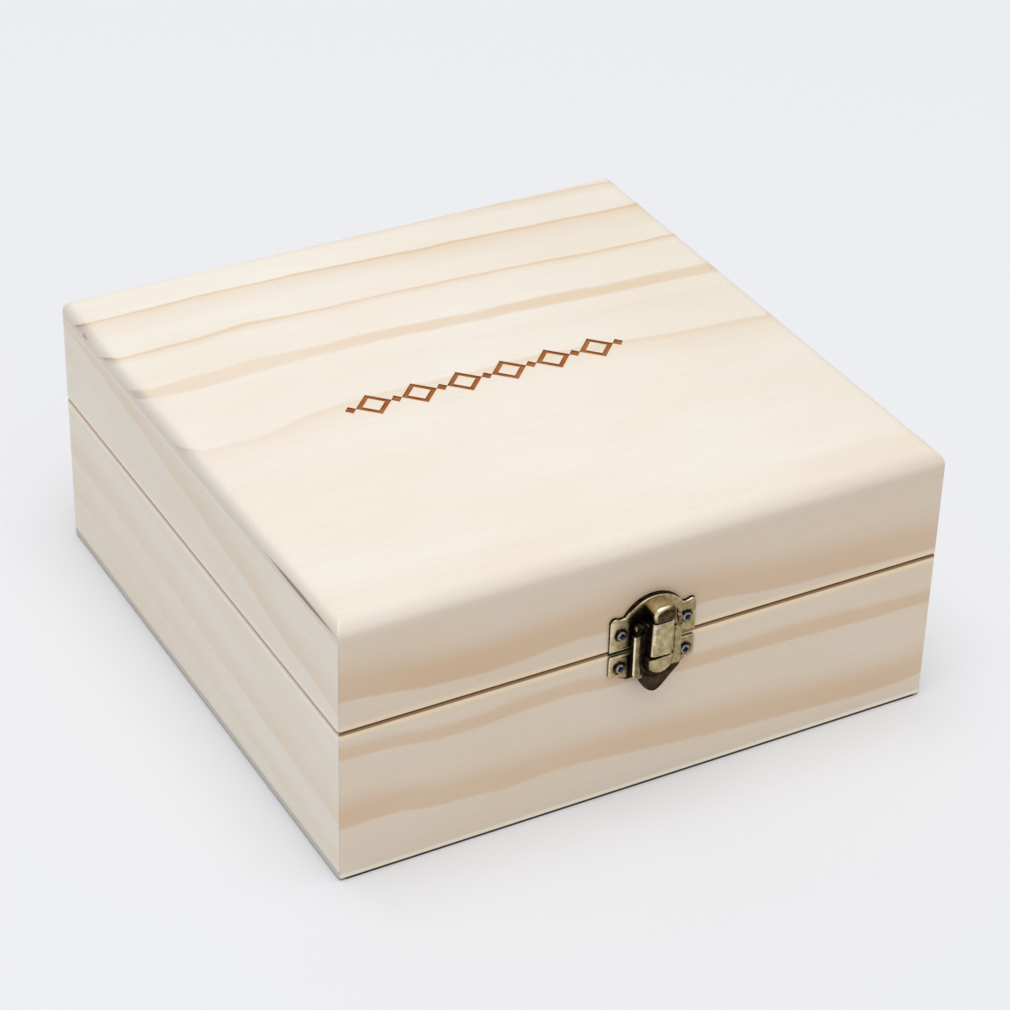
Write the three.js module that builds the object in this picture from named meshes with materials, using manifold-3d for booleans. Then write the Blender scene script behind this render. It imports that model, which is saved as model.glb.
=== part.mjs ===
import * as THREE from "three";
import { mergeVertices } from "three/addons/utils/BufferGeometryUtils.js";
import Module from "manifold-3d";

const wasm = await Module();
wasm.setup();

// A square pine box for small bottles: a base and a hinged lid of mitred boards,
// a lid panel with rounded top edges, a grid of compartments, and a brass latch.
// Millimetres. +Z is up, the front faces -Y, the origin is the middle of the underside.

// Box
const boxWidth = 190;
const boxDepth = 190;
const boxHeight = 84.5;
const seamHeight = 49.1;
const seamGap = 0.4;
const wall = 9;
const edgeChamfer = 0.7;
const lidPanelThickness = 6.6;
const lidEdgeRadius = 6;
const bottomThickness = 4;
const boardLip = 4.5;
const glueLine = 0.05;
const looseFit = 0.2;

// Compartments
const compartmentsAcross = 5;
const compartmentsDeep = 5;
const dividerThickness = 4;
const dividerHeight = 36;

// Ornament engraved in the lid
const ornamentX = -2;
const ornamentY = -2;
const ornamentPitch = 14.6;
const ornamentHeight = 11.5;
const ornamentStroke = 1.5;
const ornamentDepth = 0.4;
const lozengeCount = 6;
const lozengeWidthShare = 0.78;
const studHeightShare = 0.34;
const studWidthShare = 0.24;

// Screws, one kind for the latch and the hinges
const screwHeadRadius = 1.7;
const screwHeadHeight = 1;
const screwShankRadius = 0.9;
const screwLength = 7;
const screwTip = 1.8;
const screwHoleFit = 0.25;
const crossReach = 1.1;
const crossWidth = 0.5;
const crossDepth = 0.55;

// Hinges
const hingeInset = 43;
const leafHeight = 13;
const leafThickness = 1;
const leafSetback = 0.7;
const leafScrewSpacing = 12;
const leafScrewRise = 7.8;
const barrelRadius = 1.9;
const barrelLength = 19.4;
const middleKnuckleLength = 7.6;
const hingePinRadius = 0.9;
const pinFit = 0.2;
const knuckleGap = 0.3;
const stopAngle = 105;
const stopGap = 0.3;
const stopReach = 5.6;
const stopFlangeThickness = 1;
const stopFlangeDrop = 8;

// Latch, from the ridge of the hasp outwards
const plateThickness = 1;
const upperPlateSetback = 0.15;
const lowerPlateSetback = 1.1;
const lowerPlateHeight = 8.9;
const plateEdgeMargin = 1.55;
const plateCorner = 1.8;
const ridgeHalfWidth = 3.5;
const ridgeWall = 0.8;
const ridgeTopDepth = 6.05;
const ridgeFootDepth = 5.25;
const ridgeTopRise = 1.9;
const ridgeEdge = 0.7;
const ridgeLipLength = 6.5;
const slotHeight = 0.5;
const slotDepth = 0.4;
const lugClearance = 0.7;
const lugThickness = 1;
const lugRadius = 1.5;
const swingGap = 0.3;
const swingAngle = 70;
const armGap = 0.4;
const rimWidth = 2.1;
const rimDepth = 1.5;
const sheetGap = 1.35;
const sheetThickness = 0.9;
const sheetTopDrop = 2.6;
const pivotRise = 8.1;
const pivotStandoff = 2.55;
const armRadius = 1.3;
const armWidth = 1.4;
const latchPinRadius = 0.65;
const latchPinHeadRadius = 0.9;
const latchPinHead = 0.3;
const hoodHalfWidth = 3.5;
const hoodHeight = 4.3;
const hoodWall = 0.8;
const crownMargin = 0.7;
const headGap = 0.95;
const upperScrewRise = 5.4;
const lowerScrewDrop = 3.9;
const bumpHalfWidth = 2.2;
const bumpTopDrop = 0.5;
const bumpHeight = 3.7;
const bumpDepth = 3.2;
const catchGap = 1.65;
const tipLength = 6.6;
const shoulderMargin = 0.2;
const shoulderCut = 1.4;

// Smoothness of round shapes, and how far a cutting shape runs past what it cuts
const curveSteps = 6;
const edgeSteps = 4;
const screwSides = 12;
const domeSteps = 4;
const overrun = 1;

const pine = new THREE.MeshStandardMaterial({ color: "#e6d7bf", roughness: 0.62, metalness: 0 });
const panelPine = new THREE.MeshStandardMaterial({ color: "#f0e3cd", roughness: 0.6, metalness: 0 });
const dividerWood = new THREE.MeshStandardMaterial({ color: "#e2cfae", roughness: 0.7, metalness: 0 });
const agedBrass = new THREE.MeshStandardMaterial({ color: "#8f7848", roughness: 0.38, metalness: 1 });
const darkSteel = new THREE.MeshStandardMaterial({ color: "#5b5a5e", roughness: 0.35, metalness: 1 });

// Levels and places that several pieces share
const lidFoot = seamHeight + seamGap;
const seamMiddle = seamHeight + seamGap / 2;
const lidFrameTop = boxHeight - lidPanelThickness;
const innerWidth = boxWidth - 2 * wall;
const innerDepth = boxDepth - 2 * wall;
const barrelOffset = glueLine + barrelRadius + looseFit;
const leafFront = glueLine + leafThickness;
const leafHalfWidth = barrelLength / 2 + knuckleGap + stopFlangeThickness;
const plateFront = glueLine + plateThickness;
const lugInner = ridgeHalfWidth + lugClearance;
const lugOuter = lugInner + lugThickness;
const rimInner = lugOuter + armGap;
const armOuter = rimInner + armWidth;
const haspHalfWidth = rimInner + rimWidth;
const latchScrewX = haspHalfWidth + headGap + screwHeadRadius;
const plateHalfWidth = latchScrewX + screwHeadRadius + plateEdgeMargin;
const pivotDepth = plateFront + pivotStandoff;
const pivotHeight = seamGap / 2 + pivotRise;
const ridgeReach = ridgeTopDepth - pivotStandoff;
const sweepRadius = Math.hypot(ridgeTopRise, ridgeReach) + swingGap;
// The hood's lip stops the flat front of the ridge when the hasp is at its swing angle.
const lipAngle = THREE.MathUtils.degToRad(swingAngle) - Math.acos((ridgeReach + swingGap) / sweepRadius);
const hoodLip = pivotHeight + sweepRadius * Math.sin(lipAngle);
const hoodFront = pivotDepth + sweepRadius * Math.cos(lipAngle) + hoodWall;
const upperPlateFoot = seamGap / 2 + upperPlateSetback;
const upperPlateHeight = hoodLip + hoodHeight + crownMargin - upperPlateFoot;
const lowerPlateTop = -seamGap / 2 - lowerPlateSetback;
const upperScrewHeight = upperPlateFoot + upperScrewRise;
const lowerScrewHeight = lowerPlateTop - lowerScrewDrop;
const bumpTop = lowerPlateTop - bumpTopDrop;
const bumpFoot = bumpTop - bumpHeight;
const hollowFoot = Math.hypot(pivotHeight - bumpFoot, pivotStandoff) + catchGap;
const ridgeFoot = hollowFoot + ridgeWall;
const shoulderDrop = ridgeFoot + shoulderMargin;

// Turns a closed geometry into a solid that can be joined and cut.
function toSolid(geometry) {
  const plain = geometry.clone();
  plain.deleteAttribute("normal");
  plain.deleteAttribute("uv");
  const welded = mergeVertices(plain);
  const corners = welded.index.array;
  const triangles = [];
  for (let i = 0; i < corners.length; i += 3) {
    const [a, b, c] = corners.slice(i, i + 3);
    // A shape turned about its axis leaves triangles without area at its poles.
    if (a !== b && b !== c && c !== a) triangles.push(a, b, c);
  }
  return new wasm.Manifold(new wasm.Mesh({
    numProp: 3,
    vertProperties: new Float32Array(welded.attributes.position.array),
    triVerts: new Uint32Array(triangles),
  }));
}

function toGeometry(solid) {
  const mesh = solid.getMesh();
  const geometry = new THREE.BufferGeometry();
  geometry.setAttribute("position", new THREE.BufferAttribute(mesh.vertProperties, 3));
  geometry.setIndex(new THREE.BufferAttribute(mesh.triVerts, 1));
  geometry.computeVertexNormals();
  return geometry;
}

function join(...geometries) {
  return geometries.map(toSolid).reduce((whole, next) => whole.add(next));
}

function cut(solid, geometries) {
  return geometries.map(toSolid).reduce((left, tool) => left.subtract(tool), solid);
}

function outlineOf(points) {
  return new THREE.Shape(points.map(([u, v]) => new THREE.Vector2(u, v)));
}

function rectangle(left, right, low, high) {
  return outlineOf([[left, low], [right, low], [right, high], [left, high]]);
}

function disc(u, v, radius) {
  return new THREE.Shape().absarc(u, v, radius, 0, 2 * Math.PI);
}

// Pushes an outline from low to high; the axes say where the outline's own u, v and push go.
function push(outline, low, high, [uAxis, vAxis, pushAxis]) {
  const options = { depth: high - low, bevelEnabled: false, curveSegments: curveSteps };
  const geometry = new THREE.ExtrudeGeometry(outline, options);
  return geometry.applyMatrix4(new THREE.Matrix4().makeBasis(uAxis, vAxis, pushAxis));
}

const right = new THREE.Vector3(1, 0, 0);
const back = new THREE.Vector3(0, 1, 0);
const front = new THREE.Vector3(0, -1, 0);
const up = new THREE.Vector3(0, 0, 1);

// The outline is drawn in y and z.
function alongX(outline, low, high) {
  return push(outline, low, high, [back, up, right]).translate(low, 0, 0);
}

// The outline is drawn in x and z.
function alongY(outline, low, high) {
  return push(outline, low, high, [right, up, front]).translate(0, high, 0);
}

// The outline is drawn in x and y.
function alongZ(outline, low, high) {
  return push(outline, low, high, [right, back, up]).translate(0, 0, low);
}

function piece(name, shape, material) {
  const geometry = shape instanceof wasm.Manifold ? toGeometry(shape) : shape;
  const mesh = new THREE.Mesh(geometry, material);
  mesh.name = name;
  return mesh;
}

// The four sides in quarter turns about +Z from the front.
const sides = [
  { name: "front", turns: 0, run: boxWidth / 2, reach: boxDepth / 2 },
  { name: "right", turns: 1, run: boxDepth / 2, reach: boxWidth / 2 },
  { name: "back", turns: 2, run: boxWidth / 2, reach: boxDepth / 2 },
  { name: "left", turns: 3, run: boxDepth / 2, reach: boxWidth / 2 },
];

// A board with mitred ends. Its profile is drawn in the distance in from the outer face and z.
function mitredBoard(profile, side) {
  const setback = glueLine / Math.SQRT2;
  const options = { depth: 1, bevelEnabled: false };
  const geometry = new THREE.ExtrudeGeometry(outlineOf(profile), options);
  const place = geometry.attributes.position;
  for (let i = 0; i < place.count; i++) {
    const inward = place.getX(i);
    const z = place.getY(i);
    let x = (2 * place.getZ(i) - 1) * (side.run - inward - setback);
    let y = inward - side.reach;
    for (let turn = 0; turn < side.turns; turn++) [x, y] = [-y, x];
    place.setXYZ(i, x, y, z);
  }
  return toSolid(geometry);
}

const baseProfile = [
  [edgeChamfer, 0],
  [boardLip, 0],
  [boardLip, bottomThickness + glueLine],
  [wall, bottomThickness + glueLine],
  [wall, seamHeight],
  [edgeChamfer, seamHeight],
  [0, seamHeight - edgeChamfer],
  [0, edgeChamfer],
];

const lidProfile = [
  [edgeChamfer, lidFoot],
  [wall, lidFoot],
  [wall, lidFrameTop],
  [0, lidFrameTop],
  [0, lidFoot + edgeChamfer],
];

// Screws: the places that a row of them shares, in the x and z of the face they enter.
function screwPlaces(xs, z, face) {
  return xs.map((x) => ({ x, z, face }));
}

const frontFace = { y: -boxDepth / 2, outward: -1, seat: plateFront + glueLine };
const backFace = { y: boxDepth / 2, outward: 1, seat: leafFront + glueLine };
const hingeX = boxWidth / 2 - hingeInset;
const hinges = [{ name: "hinge_left", x: -hingeX }, { name: "hinge_right", x: hingeX }];

function hingeScrewPlaces(hinge, z) {
  return screwPlaces([hinge.x - leafScrewSpacing / 2, hinge.x + leafScrewSpacing / 2], z, backFace);
}

const latchScrewXs = [-latchScrewX, latchScrewX];
const latchLidScrews = screwPlaces(latchScrewXs, seamMiddle + upperScrewHeight, frontFace);
const latchBaseScrews = screwPlaces(latchScrewXs, seamMiddle + lowerScrewHeight, frontFace);
const baseScrews = latchBaseScrews.concat(
  ...hinges.map((hinge) => hingeScrewPlaces(hinge, seamMiddle - leafScrewRise)),
);
const lidScrews = latchLidScrews.concat(
  ...hinges.map((hinge) => hingeScrewPlaces(hinge, seamMiddle + leafScrewRise)),
);

function screwHole({ x, z, face }) {
  const outside = face.y + face.outward * overrun;
  const inside = face.y - face.outward * (screwLength - face.seat + screwHoleFit);
  const hole = disc(x, z, screwShankRadius + screwHoleFit);
  return alongY(hole, Math.min(inside, outside), Math.max(inside, outside));
}

// The screw stands with its head towards +Y and the underside of the head at zero.
function screwSolid() {
  const profile = [
    new THREE.Vector2(0, -screwLength),
    new THREE.Vector2(screwShankRadius, screwTip - screwLength),
    new THREE.Vector2(screwShankRadius, 0),
  ];
  for (let step = 0; step <= domeSteps; step++) {
    const angle = (step / domeSteps) * (Math.PI / 2);
    const radius = step === domeSteps ? 0 : screwHeadRadius * Math.cos(angle);
    profile.push(new THREE.Vector2(radius, screwHeadHeight * Math.sin(angle)));
  }
  const body = toSolid(new THREE.LatheGeometry(profile, screwSides));
  const low = screwHeadHeight - crossDepth;
  const high = screwHeadHeight + overrun;
  return cut(body, [
    alongY(rectangle(-crossReach, crossReach, -crossWidth / 2, crossWidth / 2), low, high),
    alongY(rectangle(-crossWidth / 2, crossWidth / 2, -crossReach, crossReach), low, high),
  ]);
}

const screwGeometry = toGeometry(screwSolid());

function screw(name, { x, z, face }) {
  const mesh = piece(name, screwGeometry, darkSteel);
  mesh.position.set(x, face.y + face.outward * face.seat, z);
  if (face.outward < 0) mesh.rotation.z = Math.PI;
  return mesh;
}

function baseBoards() {
  return sides.map((side) => {
    const board = cut(mitredBoard(baseProfile, side), baseScrews.map(screwHole));
    return piece(`base_${side.name}_board`, board, pine);
  });
}

function lidBoards() {
  return sides.map((side) => {
    const board = cut(mitredBoard(lidProfile, side), lidScrews.map(screwHole));
    return piece(`lid_${side.name}_board`, board, pine);
  });
}

function bottomPanel() {
  const halfX = boxWidth / 2 - boardLip - looseFit;
  const halfY = boxDepth / 2 - boardLip - looseFit;
  const panel = alongZ(rectangle(-halfX, halfX, -halfY, halfY), 0, bottomThickness);
  return piece("base_bottom_panel", panel, dividerWood);
}

// The lid panel's section: a flat board whose two top edges are rounded.
function roundedSection(halfSpan) {
  const low = lidFrameTop + glueLine;
  const radius = Math.min(lidEdgeRadius, boxHeight - low);
  const section = new THREE.Shape();
  section.moveTo(-halfSpan, low);
  section.lineTo(halfSpan, low);
  section.absarc(halfSpan - radius, boxHeight - radius, radius, 0, Math.PI / 2);
  section.absarc(radius - halfSpan, boxHeight - radius, radius, Math.PI / 2, Math.PI);
  return section.getPoints(edgeSteps);
}

function lozenge(x, y, halfWidth, halfHeight) {
  return outlineOf([[x - halfWidth, y], [x, y - halfHeight], [x + halfWidth, y], [x, y + halfHeight]]);
}

// A band of open lozenges with a small solid one between each pair and at both ends.
function ornament() {
  const halfWidth = (ornamentPitch * lozengeWidthShare) / 2;
  const halfHeight = ornamentHeight / 2;
  const slope = Math.hypot(halfWidth, halfHeight);
  const stroke = { x: (ornamentStroke * slope) / halfHeight, y: (ornamentStroke * slope) / halfWidth };
  const firstX = ornamentX - ((lozengeCount - 1) / 2) * ornamentPitch;
  const outlines = [];
  for (let i = 0; i < lozengeCount; i++) {
    const x = firstX + i * ornamentPitch;
    const open = lozenge(x, ornamentY, halfWidth, halfHeight);
    open.holes.push(lozenge(x, ornamentY, halfWidth - stroke.x, halfHeight - stroke.y));
    outlines.push(open);
  }
  for (let i = 0; i <= lozengeCount; i++) {
    const x = firstX + (i - 1 / 2) * ornamentPitch;
    const width = (ornamentPitch * studWidthShare) / 2;
    const height = (ornamentHeight * studHeightShare) / 2;
    outlines.push(lozenge(x, ornamentY, width, height));
  }
  return outlines.map((outline) => alongZ(outline, boxHeight - ornamentDepth, boxHeight + overrun));
}

function lidPanel() {
  const across = new THREE.Shape(roundedSection(boxWidth / 2));
  const deep = new THREE.Shape(roundedSection(boxDepth / 2));
  const rounded = toSolid(alongY(across, -boxDepth / 2, boxDepth / 2))
    .intersect(toSolid(alongX(deep, -boxWidth / 2, boxWidth / 2)));
  const panel = cut(rounded, ornament().concat(lidScrews.map(screwHole)));
  return piece("lid_top_panel", panel, panelPine);
}

// The middle of each divider, counted from the middle of the box.
function dividerCentres(span, cells) {
  const cell = (span - (cells - 1) * dividerThickness) / cells;
  const centres = [];
  for (let i = 1; i < cells; i++) {
    centres.push(i * (cell + dividerThickness) - dividerThickness / 2 - span / 2);
  }
  return centres;
}

// A strip with a slot half its height at each crossing, open at the top or at the foot.
function dividerOutline(span, crossings, openAtTop) {
  const foot = bottomThickness + glueLine;
  const top = foot + dividerHeight;
  const middle = (foot + top) / 2;
  const halfSpan = span / 2 - looseFit;
  const halfSlot = dividerThickness / 2 + looseFit;
  const slotted = openAtTop ? top : foot;
  const plain = openAtTop ? foot : top;
  const slotEnd = middle + (openAtTop ? -looseFit : looseFit);
  const points = [[-halfSpan, plain], [-halfSpan, slotted]];
  for (const centre of crossings) {
    points.push([centre - halfSlot, slotted], [centre - halfSlot, slotEnd]);
    points.push([centre + halfSlot, slotEnd], [centre + halfSlot, slotted]);
  }
  points.push([halfSpan, slotted], [halfSpan, plain]);
  return outlineOf(points);
}

function dividers() {
  const xs = dividerCentres(innerWidth, compartmentsAcross);
  const ys = dividerCentres(innerDepth, compartmentsDeep);
  const half = dividerThickness / 2;
  const across = ys.map((y, i) => {
    const strip = alongY(dividerOutline(innerWidth, xs, true), y - half, y + half);
    return piece(`divider_across_${i + 1}`, strip, dividerWood);
  });
  const deep = xs.map((x, i) => {
    const strip = alongX(dividerOutline(innerDepth, ys, false), x - half, x + half);
    return piece(`divider_deep_${i + 1}`, strip, dividerWood);
  });
  return [...across, ...deep];
}

// Hinge pieces are drawn about the point where the seam meets the middle of the hinge.
function leafWithKnuckles(direction, knuckles, clearings) {
  const near = direction * (seamGap / 2 + leafSetback);
  const far = direction * leafHeight;
  const low = Math.min(near, far);
  const high = Math.max(near, far);
  const plate = alongY(rectangle(-leafHalfWidth, leafHalfWidth, low, high), glueLine, leafFront);
  const barrels = knuckles.map(([from, to]) => alongX(disc(barrelOffset, 0, barrelRadius), from, to));
  const room = barrelRadius + knuckleGap;
  const cleared = clearings.map(([from, to]) => {
    return alongY(rectangle(from, to, -room, room), -overrun, leafFront + overrun);
  });
  const screwHoles = [-1, 1].map((side) => {
    const x = (side * leafScrewSpacing) / 2;
    const hole = disc(x, direction * leafScrewRise, screwShankRadius + screwHoleFit);
    return alongY(hole, -overrun, leafFront + overrun);
  });
  const bore = alongX(disc(barrelOffset, 0, hingePinRadius + pinFit), -leafHalfWidth, leafHalfWidth);
  const leaf = cut(toSolid(plate), cleared);
  return cut(leaf.add(join(...barrels)), [...screwHoles, bore]);
}

// A side flange whose sloping top meets the lid's leaf when the lid is fully open.
function stopFlange(from, to) {
  const open = THREE.MathUtils.degToRad(stopAngle);
  const [alongLeafY, alongLeafZ] = [Math.sin(open), Math.cos(open)];
  const rest = barrelOffset - leafFront - stopGap;
  const onSlope = (distance) => [
    barrelOffset + distance * alongLeafY - rest * alongLeafZ,
    distance * alongLeafZ + rest * alongLeafY,
  ];
  const outer = onSlope(stopReach);
  return alongX(outlineOf([
    [glueLine, -stopFlangeDrop],
    [leafFront, -stopFlangeDrop],
    [outer[0], outer[1] - leafThickness],
    outer,
    onSlope(0),
    [leafFront, 0],
    [leafFront, -seamGap / 2 - leafSetback],
    [glueLine, -seamGap / 2 - leafSetback],
  ]), from, to);
}

function hinge({ name, x }) {
  const middle = middleKnuckleLength / 2;
  const outer = barrelLength / 2;
  const beside = middle + knuckleGap;
  const flangeFrom = outer + knuckleGap;
  const group = new THREE.Group();
  group.position.set(x, boxDepth / 2, seamMiddle);
  const baseLeaf = leafWithKnuckles(-1, [[-outer, -beside], [beside, outer]], [[-beside, beside]])
    .add(toSolid(stopFlange(-leafHalfWidth, -flangeFrom)))
    .add(toSolid(stopFlange(flangeFrom, leafHalfWidth)));
  const lidLeaf = leafWithKnuckles(1, [[-middle, middle]], [
    [-leafHalfWidth - overrun, -middle],
    [middle, leafHalfWidth + overrun],
  ]);
  const pin = alongX(disc(barrelOffset, 0, hingePinRadius), -outer, outer);
  group.add(
    piece(`${name}_base_leaf`, baseLeaf, agedBrass),
    piece(`${name}_lid_leaf`, lidLeaf, agedBrass),
    piece(`${name}_pin`, pin, agedBrass),
  );
  return group;
}

function hingeScrews(hingeOne) {
  const rows = { base: seamMiddle - leafScrewRise, lid: seamMiddle + leafScrewRise };
  return Object.entries(rows).flatMap(([row, z]) => {
    return hingeScrewPlaces(hingeOne, z).map((place, i) => {
      return screw(`${hingeOne.name}_${row}_screw_${i + 1}`, place);
    });
  });
}

// Latch pieces are drawn about the point where the seam meets the middle of the front face.
// Their side profiles use y, which is minus the distance in front of the face.
function sideProfile(points) {
  return outlineOf(points.map(([out, z]) => [-out, z]));
}

function plateScrewHoles(z) {
  return latchScrewXs.map((x) => {
    return alongY(disc(x, z, screwShankRadius + screwHoleFit), -plateFront - overrun, overrun);
  });
}

// Square ears at both sides and a round crown in the middle.
const earHeightShare = 0.691;
const notchHeightShare = 0.647;
const crownRadiusShare = 0.782;
const crownStartShare = 0.865;

function upperPlateOutline() {
  const foot = upperPlateFoot;
  const earTop = foot + upperPlateHeight * earHeightShare;
  const crownRadius = plateHalfWidth * crownRadiusShare;
  const crownStart = Math.acos(crownStartShare);
  const crownMiddle = foot + upperPlateHeight - crownRadius;
  const crownX = crownRadius * crownStartShare;
  const notchX = (crownX + plateHalfWidth - plateCorner) / 2;
  const outline = new THREE.Shape();
  outline.moveTo(-plateHalfWidth, foot);
  outline.lineTo(plateHalfWidth, foot);
  outline.lineTo(plateHalfWidth, earTop - plateCorner);
  outline.quadraticCurveTo(plateHalfWidth, earTop, plateHalfWidth - plateCorner, earTop);
  outline.lineTo(notchX, foot + upperPlateHeight * notchHeightShare);
  outline.absarc(0, crownMiddle, crownRadius, crownStart, Math.PI - crownStart);
  outline.lineTo(-notchX, foot + upperPlateHeight * notchHeightShare);
  outline.lineTo(plateCorner - plateHalfWidth, earTop);
  outline.quadraticCurveTo(-plateHalfWidth, earTop, -plateHalfWidth, earTop - plateCorner);
  return outline;
}

// The hood over the top of the ridge: arched from the front, with a rounded front edge.
const hoodSideShares = [[0, 1], [0.6, 1], [0.88, 0.98], [0.96, 0.92], [1, 0.82], [1, 0]];

function hood() {
  const top = hoodLip + hoodHeight;
  const depth = hoodFront - glueLine;
  const profile = hoodSideShares.map(([out, rise]) => [glueLine + depth * out, hoodLip + hoodHeight * rise]);
  const fromSide = alongX(sideProfile([[glueLine, hoodLip], ...profile]), -hoodHalfWidth, hoodHalfWidth);
  const arch = new THREE.Shape();
  arch.moveTo(-hoodHalfWidth, hoodLip - overrun);
  arch.lineTo(hoodHalfWidth, hoodLip - overrun);
  arch.lineTo(hoodHalfWidth, top - hoodHeight / 2);
  arch.quadraticCurveTo(hoodHalfWidth, top, 0, top);
  arch.quadraticCurveTo(-hoodHalfWidth, top, -hoodHalfWidth, top - hoodHeight / 2);
  return toSolid(fromSide).intersect(toSolid(alongY(arch, -hoodFront - overrun, overrun)));
}

// A lug that carries the pin, standing out from the upper plate.
function lug(from, to) {
  return join(
    alongX(disc(-pivotDepth, pivotHeight, lugRadius), from, to),
    alongX(rectangle(-pivotDepth, -glueLine, pivotHeight - lugRadius, pivotHeight + lugRadius), from, to),
  );
}

function upperPlate() {
  const sweep = alongX(disc(-pivotDepth, pivotHeight, sweepRadius), -lugInner, lugInner);
  const pinDisc = disc(-pivotDepth, pivotHeight, latchPinRadius + pinFit);
  const pinHole = alongX(pinDisc, -lugOuter - overrun, lugOuter + overrun);
  return cut(hood(), [sweep])
    .add(toSolid(alongY(upperPlateOutline(), -plateFront, -glueLine)))
    .add(lug(-lugOuter, -lugInner))
    .add(lug(lugInner, lugOuter))
    .subtract(join(pinHole, ...plateScrewHoles(upperScrewHeight)));
}

const lowerEarShare = 0.674;
const lowerSlopeShare = 0.8;
const lowerFlatShare = 0.58;
const lowerBendShare = 0.84;

function lowerPlateOutline() {
  const corner = plateCorner / 2;
  const earFoot = lowerPlateTop - lowerPlateHeight * lowerEarShare;
  const bend = lowerPlateTop - lowerPlateHeight * lowerSlopeShare;
  const foot = lowerPlateTop - lowerPlateHeight;
  const bendX = plateHalfWidth * lowerBendShare;
  const flatX = plateHalfWidth * lowerFlatShare;
  const outline = new THREE.Shape();
  outline.moveTo(-plateHalfWidth + corner, lowerPlateTop);
  outline.lineTo(plateHalfWidth - corner, lowerPlateTop);
  outline.quadraticCurveTo(plateHalfWidth, lowerPlateTop, plateHalfWidth, lowerPlateTop - corner);
  outline.lineTo(plateHalfWidth, earFoot);
  outline.quadraticCurveTo(plateHalfWidth, bend, bendX, bend);
  outline.lineTo(flatX, foot);
  outline.lineTo(-flatX, foot);
  outline.lineTo(-bendX, bend);
  outline.quadraticCurveTo(-plateHalfWidth, bend, -plateHalfWidth, earFoot);
  outline.lineTo(-plateHalfWidth, lowerPlateTop - corner);
  outline.quadraticCurveTo(-plateHalfWidth, lowerPlateTop, -plateHalfWidth + corner, lowerPlateTop);
  return outline;
}

// The bump that the hasp snaps over, steeper below so that it holds.
const bumpShares = [[0, 1], [0.45, 0.97], [1, 0.55], [1, 0.38], [0.45, 0.03], [0, 0]];

function lowerPlate() {
  const profile = bumpShares.map(([out, rise]) => [
    plateFront + bumpDepth * out,
    bumpFoot + bumpHeight * rise,
  ]);
  const section = sideProfile([[glueLine, bumpTop], ...profile, [glueLine, bumpFoot]]);
  const bump = alongX(section, -bumpHalfWidth, bumpHalfWidth);
  const plate = alongY(lowerPlateOutline(), -plateFront, -glueLine);
  return cut(join(plate, bump), plateScrewHoles(lowerScrewHeight));
}

// The sheet of the hasp: straight sides, square shoulders, then an ogee to a point.
const neckShare = 0.52;
const neckDropShare = 0.455;
const neckBendShare = 0.14;

function haspOutline() {
  const top = pivotHeight - sheetTopDrop;
  const shoulder = pivotHeight - shoulderDrop;
  const tip = shoulder - tipLength;
  const neckX = haspHalfWidth * neckShare;
  const neck = shoulder - tipLength * neckDropShare;
  const bend = shoulder - tipLength * neckBendShare;
  const shoulderX = haspHalfWidth - shoulderCut / 2;
  const outline = new THREE.Shape();
  outline.moveTo(-haspHalfWidth, top);
  outline.lineTo(-haspHalfWidth, shoulder + shoulderCut);
  outline.lineTo(-shoulderX, shoulder);
  outline.quadraticCurveTo((-shoulderX - neckX) / 2, bend, -neckX, neck);
  outline.quadraticCurveTo(-neckX / 2, tip, 0, tip);
  outline.quadraticCurveTo(neckX / 2, tip, neckX, neck);
  outline.quadraticCurveTo((shoulderX + neckX) / 2, bend, shoulderX, shoulder);
  outline.lineTo(haspHalfWidth, shoulder + shoulderCut);
  outline.lineTo(haspHalfWidth, top);
  return outline;
}

// The front of the ridge and of its round end lip, as shares of the depth and of the lip's length.
const lipShares = [[1, 0], [1, 0.25], [0.96, 0.5], [0.86, 0.72], [0.68, 0.9], [0.45, 1], [0, 1]];

// The section of the ridge, as it is outside or, drawn in by the wall, as it is inside.
function ridgeProfile(inset) {
  const back = plateFront + sheetGap;
  const top = pivotHeight + ridgeTopRise - inset;
  const foot = pivotHeight - ridgeFoot + inset;
  const frontTop = plateFront + ridgeTopDepth - inset;
  const frontFoot = plateFront + ridgeFootDepth - inset;
  const lipLength = ridgeLipLength - inset;
  const lip = lipShares.map(([out, drop]) => [
    back + (frontFoot - back) * out,
    foot + lipLength * (1 - drop),
  ]);
  return [[frontTop - ridgeEdge, top], [frontTop, top - ridgeEdge], ...lip];
}

// Behind the pin the ridge's top is cut back, so that it swings clear of the plate.
function ridgeOutside() {
  const back = plateFront + sheetGap;
  const swing = pivotStandoff - sheetGap;
  const topBack = pivotDepth - Math.sqrt(Math.max(0, swing ** 2 - ridgeTopRise ** 2));
  return sideProfile([[back, pivotHeight], [topBack, pivotHeight + ridgeTopRise], ...ridgeProfile(0)]);
}

function ridgeInside() {
  const open = plateFront + sheetGap - overrun;
  const profile = ridgeProfile(ridgeWall);
  return sideProfile([[open, profile[0][1]], ...profile, [open, profile.at(-1)[1]]]);
}

// A side rim of the sheet.
function haspRim(from, to) {
  const back = plateFront + sheetGap;
  const top = pivotHeight - sheetTopDrop;
  const foot = pivotHeight - shoulderDrop + shoulderCut;
  return toSolid(alongX(sideProfile([
    [back, top],
    [back + rimDepth, top],
    [back + rimDepth, foot + rimDepth / 2],
    [back + sheetThickness, foot],
    [back, foot],
  ]), from, to));
}

// An arm that goes up from a rim and ends in an eye for the pin.
function haspArm(from, to) {
  const back = plateFront + sheetGap;
  const foot = pivotHeight - sheetTopDrop - sheetThickness;
  return join(
    alongX(disc(-pivotDepth, pivotHeight, armRadius), from, to),
    alongX(rectangle(-back - rimDepth, -back, foot, pivotHeight), from, to),
  );
}

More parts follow.
